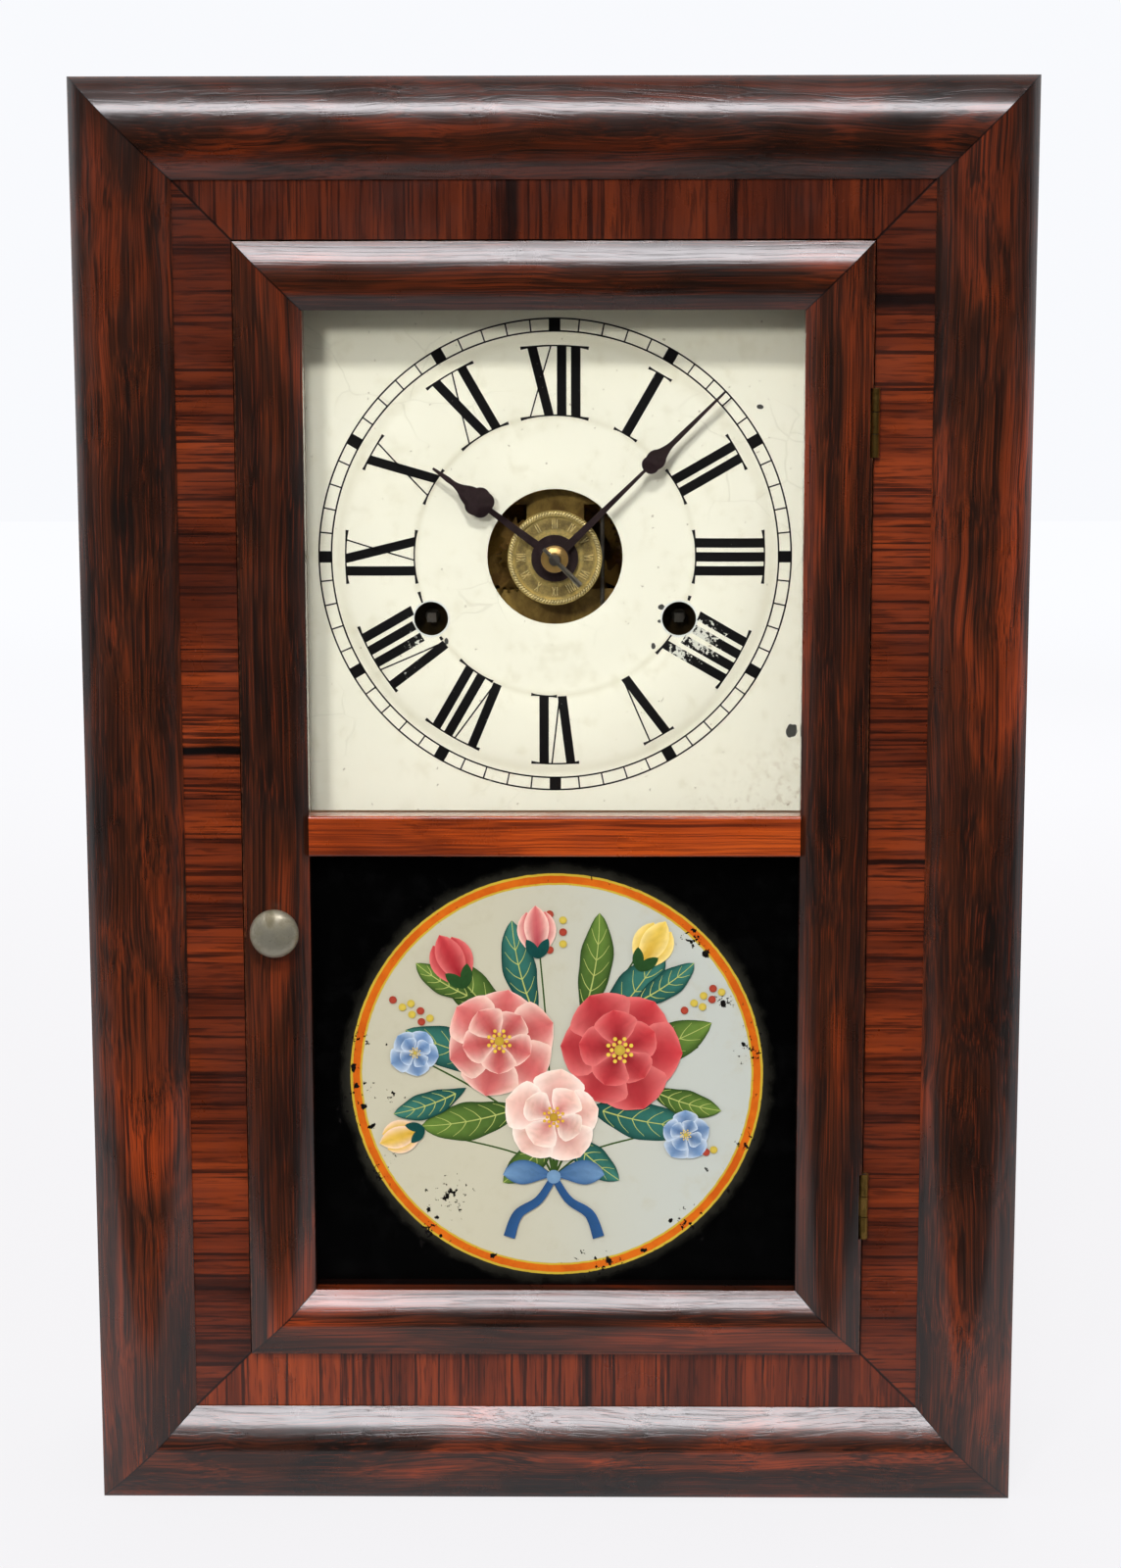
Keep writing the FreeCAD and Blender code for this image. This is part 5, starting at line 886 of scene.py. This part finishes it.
def dial_paint():
    """Cream paint with painted shade at the top and along the pressed ring's creases, dirtier at the lower
    right.
    """
    g = Graph("dial_paint")
    base = g.place()
    parts = g.split(base)
    cloud = g.noise(base, 22.0, 4.0, 0.55)
    mottle = g.noise(base, 160.0, 4.0, 0.6)
    cream = g.mix(cloud, rgb(250, 248, 232), rgb(244, 241, 222))
    cream = g.mix(g.ramp(mottle, 0.5, 0.75, 0.0, 0.35), cream, rgb(222, 216, 190))
    # Painted shade: the cream darkens towards the top, under the door's top rail.
    colour = g.mix(g.ramp(parts["Z"], 0.36, 0.404, 0.0, 0.3), cream, rgb(206, 198, 158))
    low_right = g.plus(g.times(parts["X"], 0.8), g.minus(0.316, parts["Z"]))
    spots = g.ramp(g.noise(base, 330.0, 3.0, 0.62), 0.52, 0.66)
    stained = g.times(g.ramp(low_right, 0.10, 0.165), spots)
    colour = g.mix(g.times(stained, 0.4), colour, rgb(158, 124, 80))
    out = g.away(parts, 0.0, DIAL_Z)
    # Painted shade along the creases at the pressed ring's inner and outer edges.
    for radius, reach, depth in ((RING_IN + 0.0006, 0.0016, 0.30), (RING_OUT - 0.0006, 0.0030, 0.24)):
        near = g.ramp(g.apart(out, radius), 0.0, reach, depth, 0.0, False)
        colour = g.mix(g.times(near, g.ramp(cloud, 0.3, 0.7, 0.5, 1.0)), colour, rgb(188, 178, 140))
    dust = g.ramp(g.noise(base, 520.0, 2.0), 0.72, 0.76, 0.0, 0.5)
    colour = g.mix(dust, colour, rgb(132, 112, 78))
    push = g.noise(base, 60.0, 2.0, output="Color")
    warped = g.bend(g.place(source=base, scale=(1.0, 1.0, 1.4)), push, 0.012)
    cells = g.add("ShaderNodeTexVoronoi", {"feature": "DISTANCE_TO_EDGE"}, Vector=warped, Scale=48.0)
    cracked = g.fall(cells.outputs["Distance"], 0.006, 0.018)
    cracked = g.times(cracked, g.ramp(g.noise(base, 16.0, 2.0), 0.52, 0.66))
    colour = g.mix(g.times(cracked, 0.13), colour, rgb(150, 142, 112))
    chips = 0.0
    for x, z, reach, tall in DIAL_CHIPS:
        chips = g.most(chips, g.ramp(g.away(parts, x, z, tall), 0.0, reach * 1.6, 1.0, 0.0, False))
    chipped = g.ramp(g.total((chips, 0.8), (g.noise(base, 420.0, 4.0, 0.65), 0.5)), 0.66, 0.68)
    colour = g.mix(chipped, colour, rgb(74, 74, 70))
    for side in (-1, 1):
        away = g.minus(g.away(parts, WINDING_X * side, WINDING_Z), WINDING_HOLE)
        edge = g.ramp(away, 0.0002, 0.0009, 0.9, 0.0)
        colour = g.mix(edge, colour, rgb(226, 230, 226))
    normal = g.bump(g.minus(g.times(mottle, 0.4), g.plus(cracked, chipped)), 0.2, 0.0003)
    return g.finish(colour, g.ramp(mottle, 0.3, 0.8, 0.36, 0.52), normal, Specular_IOR_Level=0.35)


RING_SHARES = (
    (0.0, 0.0), (0.03, 0.14), (0.08, 0.36), (0.14, 0.56), (0.22, 0.76), (0.32, 0.92), (0.45, 1.0),
    (0.58, 1.0), (0.70, 0.90), (0.80, 0.70), (0.88, 0.46), (0.95, 0.18), (1.0, 0.0),
)


def ring_height(radius):
    """How far the pressed ring stands in front of the dial's flat at this radius."""
    share = (radius - RING_IN) / (RING_OUT - RING_IN)
    for (low, start), (high, end) in zip(RING_SHARES, RING_SHARES[1:]):
        if low <= share <= high:
            return RING_RISE * (start + (end - start) * (share - low) / (high - low))
    return 0.0


def dial_sheet(material):
    """The pressed dial sheet with its open centre, softly raised ring and winding holes."""
    radii = [DIAL_HOLE, 0.0232, 0.030, 0.038]
    radii += [RING_IN + (RING_OUT - RING_IN) * step / RING_STEPS for step in range(RING_STEPS + 1)]
    radii += [0.0729, 0.076, 0.080]
    around = DIAL_SIDES
    points, faces = [], []
    for side in (0, 1):
        for radius in [*radii, None]:
            for step in range(around):
                angle = step * math.tau / around
                sine, cosine = math.sin(angle), math.cos(angle)
                if radius is None:
                    reach = min(
                        DIAL_HALF_WIDTH / max(abs(sine), 1e-9), DIAL_HALF_HEIGHT / max(abs(cosine), 1e-9)
                    )
                    rise = 0.0
                else:
                    reach = radius
                    rise = ring_height(radius) - (HOLE_LIP if radius == DIAL_HOLE else 0.0)
                depth = DIAL_Y + DIAL_SHEET if side else DIAL_Y - rise
                points.append((sine * reach, depth, DIAL_Z + cosine * reach))
    rings = len(radii) + 1
    back = rings * around
    last = back - around
    for side in (0, 1):
        for a in range(side * back, side * back + last, around):
            for step in range(around):
                ahead = (step + 1) % around
                corners = (a + step, a + ahead, a + around + ahead, a + around + step)
                faces.append(corners if side else corners[::-1])
    for step in range(around):
        ahead = (step + 1) % around
        faces.append((step, ahead, back + ahead, back + step))
        faces.append((last + ahead, last + step, back + last + step, back + last + ahead))
    sheet = piece("dial_sheet", points, faces, None, material, smooth=True)
    turn_outward(sheet.data)
    for side in (-1, 1):
        cut_hole(sheet, WINDING_X * side, WINDING_Z, WINDING_HOLE)
    sheet.data.polygons.foreach_set("use_smooth", [True] * len(sheet.data.polygons))
    sheet.data.set_sharp_from_angle(angle=SHEET_EDGE)
    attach(sheet, "case")
    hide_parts("dial_plate")


def cut_hole(sheet, x, z, radius, sides=48):
    """Cut a round hole through a sheet that faces front."""
    mesh = bpy.data.meshes.new("cutter")
    walls = [(step, (step + 1) % sides, sides + (step + 1) % sides, sides + step) for step in range(sides)]
    walls.append(tuple(range(sides - 1, -1, -1)))
    walls.append(tuple(range(sides, sides * 2)))
    rims = circle(x, z, radius, CUT_FRONT, sides) + circle(x, z, radius, CUT_BACK, sides)
    mesh.from_pydata(rims, [], walls)
    turn_outward(mesh)
    tool = bpy.data.objects.new("cutter", mesh)
    bpy.context.collection.objects.link(tool)
    cut = sheet.modifiers.new("cut", "BOOLEAN")
    cut.operation = "DIFFERENCE"
    cut.solver = "EXACT"
    cut.object = tool
    bpy.context.view_layer.update()
    held = sheet.evaluated_get(bpy.context.evaluated_depsgraph_get())
    done = bpy.data.meshes.new_from_object(held)
    sheet.modifiers.clear()
    sheet.data = done
    bpy.data.objects.remove(tool)


cream_paint = dial_paint()
dress(cream_paint, ("dial_plate",))
dial_sheet(cream_paint)


# Dial lettering: thin painted strokes that follow the pressed ring

NUMERALS = ("XII", "I", "II", "III", "IIII", "V", "VI", "VII", "VIII", "IX", "X", "XI")
ADVANCE = {"I": 0.0046, "V": 0.0074, "X": 0.0092}
STROKE = 0.0031
HAIR = 0.0005
NUMERAL_IN = 0.0464
NUMERAL_OUT = 0.0690
SERIF_OVER = 0.0020
TRACK_IN = 0.0737
TRACK_OUT = 0.0778
TRACK_LINE = 0.00054
BLOCK = 0.0038
PAINT_LIFT = 0.00006
INK_FLAKES = (
    (0.0475, 0.2895, 0.012, 0.92), (0.0410, 0.2840, 0.007, 0.9), (-0.0455, 0.2880, 0.008, 0.55),
    (-0.020, 0.245, 0.02, 0.25), (-0.044, 0.2745, 0.012, 0.3),
)


def ink(name, colour):
    """Worn black paint that has flaked away in a few places."""
    g = Graph(name)
    base = g.place()
    parts = g.split(base)
    wear = g.noise(base, 500.0, 4.0, 0.65)
    shade = g.mix(g.ramp(wear, 0.5, 0.75, 0.0, 0.5), colour, tuple(value * 1.8 + 0.002 for value in colour))
    flakes = near_places(g, parts, INK_FLAKES)
    bare = g.ramp(g.plus(g.times(flakes, 0.34), g.noise(base, 700.0, 4.0, 0.7)), 0.70, 0.73)
    shade = g.mix(bare, shade, rgb(222, 222, 210))
    return g.finish(shade, 0.45, g.bump(wear, 0.1, 0.0002), Specular_IOR_Level=0.35)


def over_hole(point):
    """True where the dial is open for a winding key."""
    reach = WINDING_HOLE + 0.0001
    return any(math.hypot(point[0] - side * WINDING_X, point[2] - WINDING_Z) < reach for side in (-1, 1))


def on_clock(clock, across, outward):
    """(x, z) from the dial's centre of a point given across and outward at a clock angle."""
    sine, cosine = math.sin(clock), math.cos(clock)
    return across * cosine + outward * sine, outward * cosine - across * sine


class Strokes:
    """Collects flat quads in a numeral's own frame and turns them to their place on the dial."""

    def __init__(self):
        self.points = []
        self.faces = []

    def ribbon(self, rows, clock=0.0):
        """rows are (left, right) pairs of (across, outward) points from one end of a stroke to the other."""
        first = len(self.points)
        for pair in rows:
            for spot in pair:
                x, z = on_clock(clock, *spot)
                depth = ring_height(math.hypot(x, z)) + PAINT_LIFT
                self.points.append((x, DIAL_Y - depth, DIAL_Z + z))
        for a in range(first, first + len(rows) * 2 - 2, 2):
            corners = (a, a + 1, a + 3, a + 2)
            if not any(over_hole(self.points[corner]) for corner in corners):
                self.faces.append(corners)

    def bar(self, start, end, wide, clock, steps=46):
        """A straight stroke whose ends lie on the circles through its ends."""
        rows = []
        for step in range(steps + 1):
            share = step / steps
            across = start[0] + (end[0] - start[0]) * share
            outward = start[1] + (end[1] - start[1]) * share
            sides = (across - wide / 2, across + wide / 2)
            rows.append([(side, outward - side ** 2 / (2 * outward)) for side in sides])
        self.ribbon(rows, clock)

    def arc(self, radius, low, high, wide, clock, steps=14, swell=0.0):
        """A hairline along a circle, between two distances across."""
        rows = []
        for step in range(steps + 1):
            share = step / steps
            angle = (low + (high - low) * share) / radius
            half = wide * (0.5 + swell * abs(2 * share - 1) ** 4)
            reaches = (radius + half, radius - half)
            rows.append([(math.sin(angle) * reach, math.cos(angle) * reach) for reach in reaches])
        self.ribbon(rows, clock)

    def finish(self, name, material):
        piece(name, self.points, self.faces, "case", material)


def draw_numerals(material):
    """Roman numerals whose feet point to the centre, with hairline serifs."""
    lines = Strokes()
    for hour, letters in enumerate(NUMERALS):
        clock = hour * math.tau / 12
        half = sum(ADVANCE[letter] for letter in letters) / 2
        spot = -half
        feet = []
        for letter in letters:
            middle = spot + ADVANCE[letter] / 2
            if letter != "V":
                feet += [spot, spot + ADVANCE[letter]]
            spot += ADVANCE[letter]
            for foot, head, wide in {
                "I": ((0.0, 0.0, STROKE),),
                "V": ((0.0, -0.0029, STROKE * 0.96), (0.0008, 0.0034, HAIR)),
                "X": ((0.0028, -0.0028, STROKE), (-0.0034, 0.0034, HAIR)),
            }[letter]:
                lines.bar((middle + foot, NUMERAL_IN), (middle + head, NUMERAL_OUT), wide, clock)
        lines.arc(NUMERAL_OUT, -half - SERIF_OVER, half + SERIF_OVER, HAIR, clock, swell=0.6)
        if feet:
            lines.arc(NUMERAL_IN, feet[0] - SERIF_OVER, feet[-1] + SERIF_OVER, HAIR, clock, swell=0.6)
    lines.finish("dial_numerals", material)


def draw_minute_track(material):
    """Two circles with a line for each minute and a block at each hour."""
    lines = Strokes()
    for radius in (TRACK_IN, TRACK_OUT):
        lines.arc(radius, -math.pi * radius, math.pi * radius, TRACK_LINE, 0.0, steps=240)
    for minute in range(60):
        wide = BLOCK if minute % 5 == 0 else TRACK_LINE * 0.9
        lines.bar((0.0, TRACK_IN), (0.0, TRACK_OUT), wide, minute * math.tau / 60, steps=2)
    lines.finish("dial_minute_track", material)


dial_black = ink("dial_black", rgb(16, 15, 16))
draw_numerals(dial_black)
draw_minute_track(dial_black)


# Alarm disc: roped border and raised numerals

ALARM_FACE_Y = -0.0184
ALARM_RIM_Y = -0.0191
ALARM_IN = 0.0096
ALARM_OUT = 0.0126
ALARM_BORDER = 0.0146
ALARM_ADVANCE = {"I": 0.00075, "V": 0.0014, "X": 0.0015}
ALARM_LEAN = 0.0005
ALARM_STROKE = 0.00042
EMBOSS = 0.00022
BEADS = 96
BEAD_LONG = 0.00072
BEAD_WIDE = 0.00034
BEAD_RISE = 0.00024
BEAD_TOP = 0.00026
BEAD_LEAN = math.radians(38)
BEAD_SIDES = 8


def ridge(points, faces, start, end):
    """A raised stroke with sloping sides between two (x, z) points."""
    direction = (Vector(end) - Vector(start)).normalized()
    side = Vector((-direction.y, direction.x)) * ALARM_STROKE / 2
    first = len(points)
    for spot in (start, end):
        for share, up in ((-1.0, 0.0), (-0.4, 1.0), (0.4, 1.0), (1.0, 0.0)):
            x, z = spot[0] + side.x * share, spot[1] + side.y * share
            points.append((x, ALARM_FACE_Y - EMBOSS * up, DIAL_Z + z))
    for step in range(3):
        faces.append((first + step, first + step + 1, first + step + 5, first + step + 4))
    faces.append((first, first + 1, first + 2, first + 3))
    faces.append((first + 4, first + 5, first + 6, first + 7))


def alarm_brass(name, clean, grimy):
    """Aged brass; a grimy one has the dirt that lies round raised numerals and inside the border."""
    g = Graph(name)
    base = g.place()
    out = g.away(g.split(base), 0.0, DIAL_Z)
    blotch = g.noise(base, 240.0, 5.0, 0.65)
    fine = g.noise(base, 1600.0, 3.0)
    colour = g.mix(g.ramp(blotch, 0.4, 0.66), clean, tuple(value * 0.42 for value in clean))
    share = g.ramp(blotch, 0.4, 0.7)
    if grimy:
        zone = g.ramp(g.apart(out, 0.0112), 0.0012, 0.0024, 0.72, 0.0)
        edge = g.ramp(g.apart(out, ALARM_BORDER), 0.0002, 0.0010, 0.8, 0.0)
        grime = g.times(g.most(zone, edge), g.ramp(fine, 0.3, 0.7, 0.75, 1.0))
        colour = g.mix(grime, colour, rgb(66, 48, 20))
        share = g.most(share, grime)
    rough = g.ramp(share, 0.0, 1.0, 0.36, 0.62)
    return g.finish(colour, rough, g.bump(fine, 0.12, 0.0002), Metallic=g.ramp(share, 0.0, 1.0, 0.6, 0.25))


def alarm_numerals(material):
    """Small raised numerals, with 12 at the left as the disc is set."""
    points, faces = [], []
    for hour, letters in enumerate(NUMERALS):
        letters = "IV" if letters == "IIII" else letters
        clock = (hour - 3) * math.tau / 12
        spot = -sum(ALARM_ADVANCE[letter] for letter in letters) / 2
        for letter in letters:
            middle = spot + ALARM_ADVANCE[letter] / 2
            spot += ALARM_ADVANCE[letter]
            for foot, head in {"I": ((0, 0),), "V": ((0, -1), (0, 1)), "X": ((1, -1), (-1, 1))}[letter]:
                start = on_clock(clock, middle + foot * ALARM_LEAN, ALARM_IN)
                end = on_clock(clock, middle + head * ALARM_LEAN, ALARM_OUT)
                ridge(points, faces, start, end)
    piece("alarm_numerals", points, faces, "alarm_disc", material)


def alarm_border(material):
    """A rope of slanting beads round the disc's rim."""
    points, faces = [], []
    for bead in range(BEADS):
        angle = bead * math.tau / BEADS
        centre = Vector((math.sin(angle), math.cos(angle))) * ALARM_BORDER
        lean = angle + BEAD_LEAN
        along = Vector((math.sin(lean), math.cos(lean)))
        side = Vector((along.y, -along.x))
        first = len(points)
        for ring, up in ((1.0, 0.0), (0.62, 0.8)):
            for corner in range(BEAD_SIDES):
                turn = corner * math.tau / BEAD_SIDES
                spot = centre + along * (BEAD_LONG * ring * math.cos(turn))
                spot += side * (BEAD_WIDE * ring * math.sin(turn))
                points.append((spot.x, ALARM_RIM_Y - BEAD_RISE * up, DIAL_Z + spot.y))
        points.append((centre.x, ALARM_RIM_Y - BEAD_TOP, DIAL_Z + centre.y))
        for corner in range(first, first + BEAD_SIDES):
            after = first + (corner - first + 1) % BEAD_SIDES
            faces.append((corner, after, after + BEAD_SIDES, corner + BEAD_SIDES))
            faces.append((corner + BEAD_SIDES, after + BEAD_SIDES, first + BEAD_SIDES * 2))
    piece("alarm_roped_border", points, faces, "alarm_disc", material, smooth=True)


dress(alarm_brass("alarm_disc_brass", rgb(236, 208, 128), True), ("alarm_disc",))
raised_brass = alarm_brass("alarm_raised_brass", rgb(255, 234, 168), False)
alarm_numerals(raised_brass)
alarm_border(raised_brass)


# Painted posy on the tablet: blossoms, buds, leaves and a ribbon, in a design of our own

LAYER = 0.000003
POSY_LIFT = 0.00003
BLADE_COLUMNS = 8
PATH_STEPS = 8
DOT_SIDES = 14


def painted(name):
    """Brush-painted enamel that takes its colour from the mesh."""
    g = Graph(name)
    base = g.place()
    paint = g.add("ShaderNodeVertexColor", {"layer_name": "paint"}).outputs["Color"]
    brush = g.ramp(g.noise(base, 620.0, 4.0, 0.65), 0.45, 0.75, 0.0, 0.45)
    broad = g.ramp(g.noise(base, 180.0, 3.0), 0.5, 0.8, 0.0, 0.25)
    colour = g.mix(brush, paint, (0.9, 0.86, 0.8), "MULTIPLY")
    colour = g.mix(broad, colour, (0.8, 0.66, 0.5), "MULTIPLY")
    return g.finish(colour, 0.4, None, Coat_Weight=1.0, Coat_Roughness=0.03, Specular_IOR_Level=0.1)


def shaded(colour, factor):
    return [value * factor for value in colour]


def between_colours(first, second, share):
    return [a + (b - a) * share for a, b in zip(first, second)]


def spine(foot, angle, bend, length, share, sideways=0.0):
    """A point at a share of a bent blade's length, and so far to the side of its middle line."""
    turn = angle + bend * share
    x = foot[0] + math.sin((angle + turn) / 2) * length * share + math.cos(turn) * sideways
    z = foot[1] + math.cos((angle + turn) / 2) * length * share - math.sin(turn) * sideways
    return x, z


class Painting:
    """Petals, leaves, dots and lines as thin layered meshes with a colour at each point."""

    def __init__(self, seed):
        self.points = []
        self.faces = []
        self.colours = []
        self.layers = 0
        self.draw = random.Random(seed)

    def begin(self, layers=1):
        """Start a new layer: its depth, and the number of its first point."""
        self.layers += layers
        return TABLET_Y - POSY_LIFT - LAYER * self.layers, len(self.points)

    def put(self, x, depth, z, colour):
        self.points.append((x, depth, z))
        self.colours.append(colour)

    def blade(
        self, foot, angle, length, width, inner, outer, edge=None, bend=0.0, blunt=1.0, rows=12, wave=0.0
    ):
        """A petal or leaf from its foot outward; colours run from inner to outer and to edge at its sides."""
        depth, first = self.begin()
        phase = self.draw.random() * math.tau
        for row in range(rows + 1):
            share = row / rows
            fat = math.sin(math.pi * share ** (1.0 / blunt)) ** 0.75 if 0 < share < 1 else 0.0
            half = width / 2 * fat * (1.0 + wave * math.sin(share * 19.0 + phase))
            for column in range(BLADE_COLUMNS + 1):
                side = column / BLADE_COLUMNS * 2 - 1
                x, z = spine(foot, angle, bend, length, share, half * side)
                colour = between_colours(inner, outer, share * 0.8 + 0.2 * abs(side))
                if edge:
                    colour = between_colours(colour, edge, abs(side) ** 2.2 * 0.85)
                self.put(x, depth, z, shaded(colour, 1.0 + (self.draw.random() - 0.5) * 0.16))
        wide = BLADE_COLUMNS + 1
        for row in range(rows):
            for a in range(first + row * wide, first + row * wide + BLADE_COLUMNS):
                self.faces.append((a, a + 1, a + wide + 1, a + wide))

    def dot(self, x, z, radius, colour):
        depth, first = self.begin(0.1)
        self.put(x, depth, z, colour)
        for rim_x, rim_depth, rim_z in circle(x, z, radius, depth, DOT_SIDES):
            self.put(rim_x, rim_depth, rim_z, shaded(colour, 0.8))
        for step in range(DOT_SIDES):
            self.faces.append((first, first + 1 + step, first + 1 + (step + 1) % DOT_SIDES))

    def line(self, path, start_width, end_width, colour):
        """A brush line along a smooth path through (x, z) points."""
        depth, first = self.begin()
        spots = smooth_path(path, PATH_STEPS)
        last = len(spots) - 1
        for index, spot in enumerate(spots):
            ahead = spots[min(index + 1, last)] - spots[max(index - 1, 0)]
            side = Vector((-ahead.y, ahead.x)).normalized()
            half = (start_width + (end_width - start_width) * index / last) / 2
            for sign, factor in ((-1, 0.85), (1, 1.1)):
                rim = spot + side * half * sign
                self.put(rim.x, depth, rim.y, shaded(colour, factor))
        for a in range(first, first + last * 2, 2):
            self.faces.append((a, a + 1, a + 3, a + 2))

    def finish(self, name, material):
        piece(name, self.points, self.faces, "door", material, colours=self.colours)


def blossom(art, x, z, radius, petals, shades, turn, heart):
    """An open flower of two rings of rounded petals with a stamened heart."""
    inner, outer, edge = shades
    for ring, (size, count) in enumerate(((1.0, petals), (0.66, petals - 1))):
        for petal in range(count):
            angle = turn + ring * 0.5 + petal * math.tau / count + art.draw.uniform(-0.08, 0.08)
            grown = radius * size * art.draw.uniform(0.92, 1.06)
            tint = art.draw.uniform(0.9, 1.12)
            art.blade(
                (x, z), angle, grown, grown * 1.02, shaded(inner, 0.72 * tint), shaded(outer, tint), edge,
                blunt=0.62, wave=0.035,
            )
    for bead in range(16):
        angle = bead * math.tau / 16
        reach = radius * (0.2 if bead % 2 else 0.13)
        art.dot(x + math.cos(angle) * reach, z + math.sin(angle) * reach, radius * 0.034, heart)
    art.dot(x, z, radius * 0.09, shaded(heart, 0.7))


def bud(art, foot, angle, length, shades, calyx):
    """A closed tulip-like bud in its green cup."""
    for side, share in ((-0.32, 0.9), (0.32, 0.9), (0.0, 1.0)):
        art.blade(foot, angle + side, length * share, length * 0.46, *shades, bend=-side * 0.8, blunt=0.75)
    for side in (-0.5, 0.5):
        art.blade(foot, angle + side, length * 0.42, length * 0.2, calyx, shaded(calyx, 1.3))


def leaf(art, foot, angle, length, width, shades, vein):
    """A bent leaf with a pale midrib and five pairs of side veins."""
    bend = 0.35 if angle < 0 else -0.35
    art.blade(foot, angle, length, width, *shades, shaded(shades[0], 0.6), bend, 0.82, 20, 0.035)
    art.line([spine(foot, angle, bend, length, share / 6) for share in range(1, 7)], 0.0005, 0.0002, vein)
    for pair in range(5):
        share = 0.16 + pair * 0.14
        fat = math.sin(math.pi * min(share + 0.12, 0.96)) ** 0.75 * width / 2
        for side in (-1, 1):
            path = [
                spine(foot, angle, bend, length, share + ahead, side * fat * out)
                for ahead, out in ((0.0, 0.0), (0.055, 0.42), (0.14, 0.78))
            ]
            art.line(path, 0.00034, 0.00012, vein)


# Places from the circle's centre
# Stems are (x, z, width), leaves (x, z, angle, length, width, 1 for teal), sprigs (x, z, angle)
STEMS = (
    (-0.030, 0.034, 0.0008), (-0.006, 0.047, 0.0007), (0.026, 0.040, 0.0008), (-0.046, 0.006, 0.0008),
    (0.047, 0.010, 0.0008), (-0.018, 0.010, 0.0010), (0.018, 0.006, 0.0010), (0.0, -0.010, 0.0011),
    (0.040, -0.018, 0.0007), (-0.040, -0.020, 0.0007),
)
LEAVES = (
    (-0.010, -0.010, -1.95, 0.036, 0.013, 0), (0.010, -0.010, 1.95, 0.036, 0.013, 1),
    (-0.012, 0.004, -1.45, 0.040, 0.014, 1), (0.012, 0.004, 1.40, 0.042, 0.014, 0),
    (-0.010, 0.012, -0.92, 0.042, 0.013, 0), (0.010, 0.012, 0.86, 0.040, 0.014, 1),
    (-0.006, 0.018, -0.42, 0.036, 0.011, 1), (0.008, 0.018, 0.34, 0.038, 0.011, 0),
    (0.000, -0.018, -2.55, 0.026, 0.010, 0), (0.002, -0.018, 2.50, 0.026, 0.010, 1),
    (0.030, -0.004, 2.05, 0.026, 0.009, 0), (-0.030, -0.004, -2.10, 0.026, 0.009, 1),
    (0.024, 0.024, 1.15, 0.026, 0.009, 1), (-0.026, 0.026, -1.20, 0.024, 0.008, 0),
)
SPRIGS = ((-0.052, 0.026, -0.9), (0.054, 0.030, 0.9), (0.000, 0.055, 0.0), (0.052, -0.026, 2.0))
TIE_DROP = 0.0345


def paint_posy():
    """Stems first, then leaves, sprigs, buds and blossoms, each over the last, and the ribbon on top."""
    art = Painting(17)
    green = (rgb(38, 70, 34), rgb(116, 146, 62))
    teal = (rgb(20, 66, 62), rgb(70, 134, 118))
    tie = (CIRCLE_X - 0.001, CIRCLE_Z - TIE_DROP)
    for x, z, wide in STEMS:
        middle = (tie[0] + x * 0.32, tie[1] + (z + TIE_DROP) * 0.55)
        art.line((tie, middle, (CIRCLE_X + x, CIRCLE_Z + z)), wide, wide * 0.7, rgb(58, 84, 36))
    for x, z, angle, length, width, is_teal in LEAVES:
        shades = teal if is_teal else green
        leaf(art, (CIRCLE_X + x, CIRCLE_Z + z), angle, length, width, shades, rgb(176, 186, 104))
    for x, z, angle in SPRIGS:
        for berry in range(7):
            down = 0.012 * berry / 6
            berry_x = CIRCLE_X + x - math.sin(angle) * down + (0.0022 if berry % 2 else -0.0022)
            berry_z = CIRCLE_Z + z - math.cos(angle) * down
            art.dot(berry_x, berry_z, 0.0013, rgb(214, 188, 78) if berry % 3 else rgb(176, 70, 52))
    pink, red, cream = rgb(226, 120, 116), rgb(172, 36, 38), rgb(246, 214, 196)
    crimson, rose, gold = rgb(132, 20, 32), rgb(206, 66, 70), rgb(196, 150, 40)
    blue = (rgb(56, 88, 140), rgb(126, 158, 196), rgb(210, 222, 232))
    for x, z, angle, length, shades, calyx in (
        (-0.030, 0.030, -0.45, 0.020, (crimson, rose, pink), green[0]),
        (0.027, 0.036, 0.5, 0.019, (gold, rgb(240, 206, 96), rgb(250, 226, 150)), green[0]),
        (-0.006, 0.040, -0.05, 0.018, (rgb(150, 40, 60), pink, cream), teal[0]),
        (-0.044, -0.018, -1.9, 0.016, (gold, rgb(236, 196, 88), cream), teal[0]),
    ):
        bud(art, (CIRCLE_X + x, CIRCLE_Z + z), angle, length, shades, calyx)
    for x, z, radius, petals, shades, turn, heart in (
        (-0.019, 0.012, 0.0185, 6, (red, pink, cream), 0.2, rgb(236, 196, 70)),
        (0.021, 0.009, 0.0205, 6, (crimson, rose, pink), 0.6, rgb(240, 204, 80)),
        (-0.001, -0.014, 0.0165, 5, (rose, cream, rgb(252, 236, 222)), 0.1, rgb(226, 178, 56)),
        (0.043, -0.020, 0.0085, 5, blue, 0.0, rgb(236, 206, 96)),
        (-0.047, 0.008, 0.0085, 5, blue, 0.5, rgb(236, 206, 96)),
    ):
        blossom(art, CIRCLE_X + x, CIRCLE_Z + z, radius, petals, shades, turn, heart)
    ribbon, ribbon_light = rgb(44, 82, 128), rgb(120, 156, 190)
    for side in (-1, 1):
        art.blade(tie, side * 1.25, 0.017, 0.0085, ribbon, ribbon_light, ribbon, side * 0.55, 0.7)
        fall = ((0.0, 0.0), (0.005, 0.008), (0.012, 0.013), (0.015, 0.021))
        tail = [(tie[0] + side * x, tie[1] - z) for x, z in fall]
        art.line(tail, 0.0022, 0.0040, ribbon)
    art.dot(*tie, 0.0024, ribbon_light)
    art.finish("tablet_posy", painted("posy_paint"))


paint_posy()
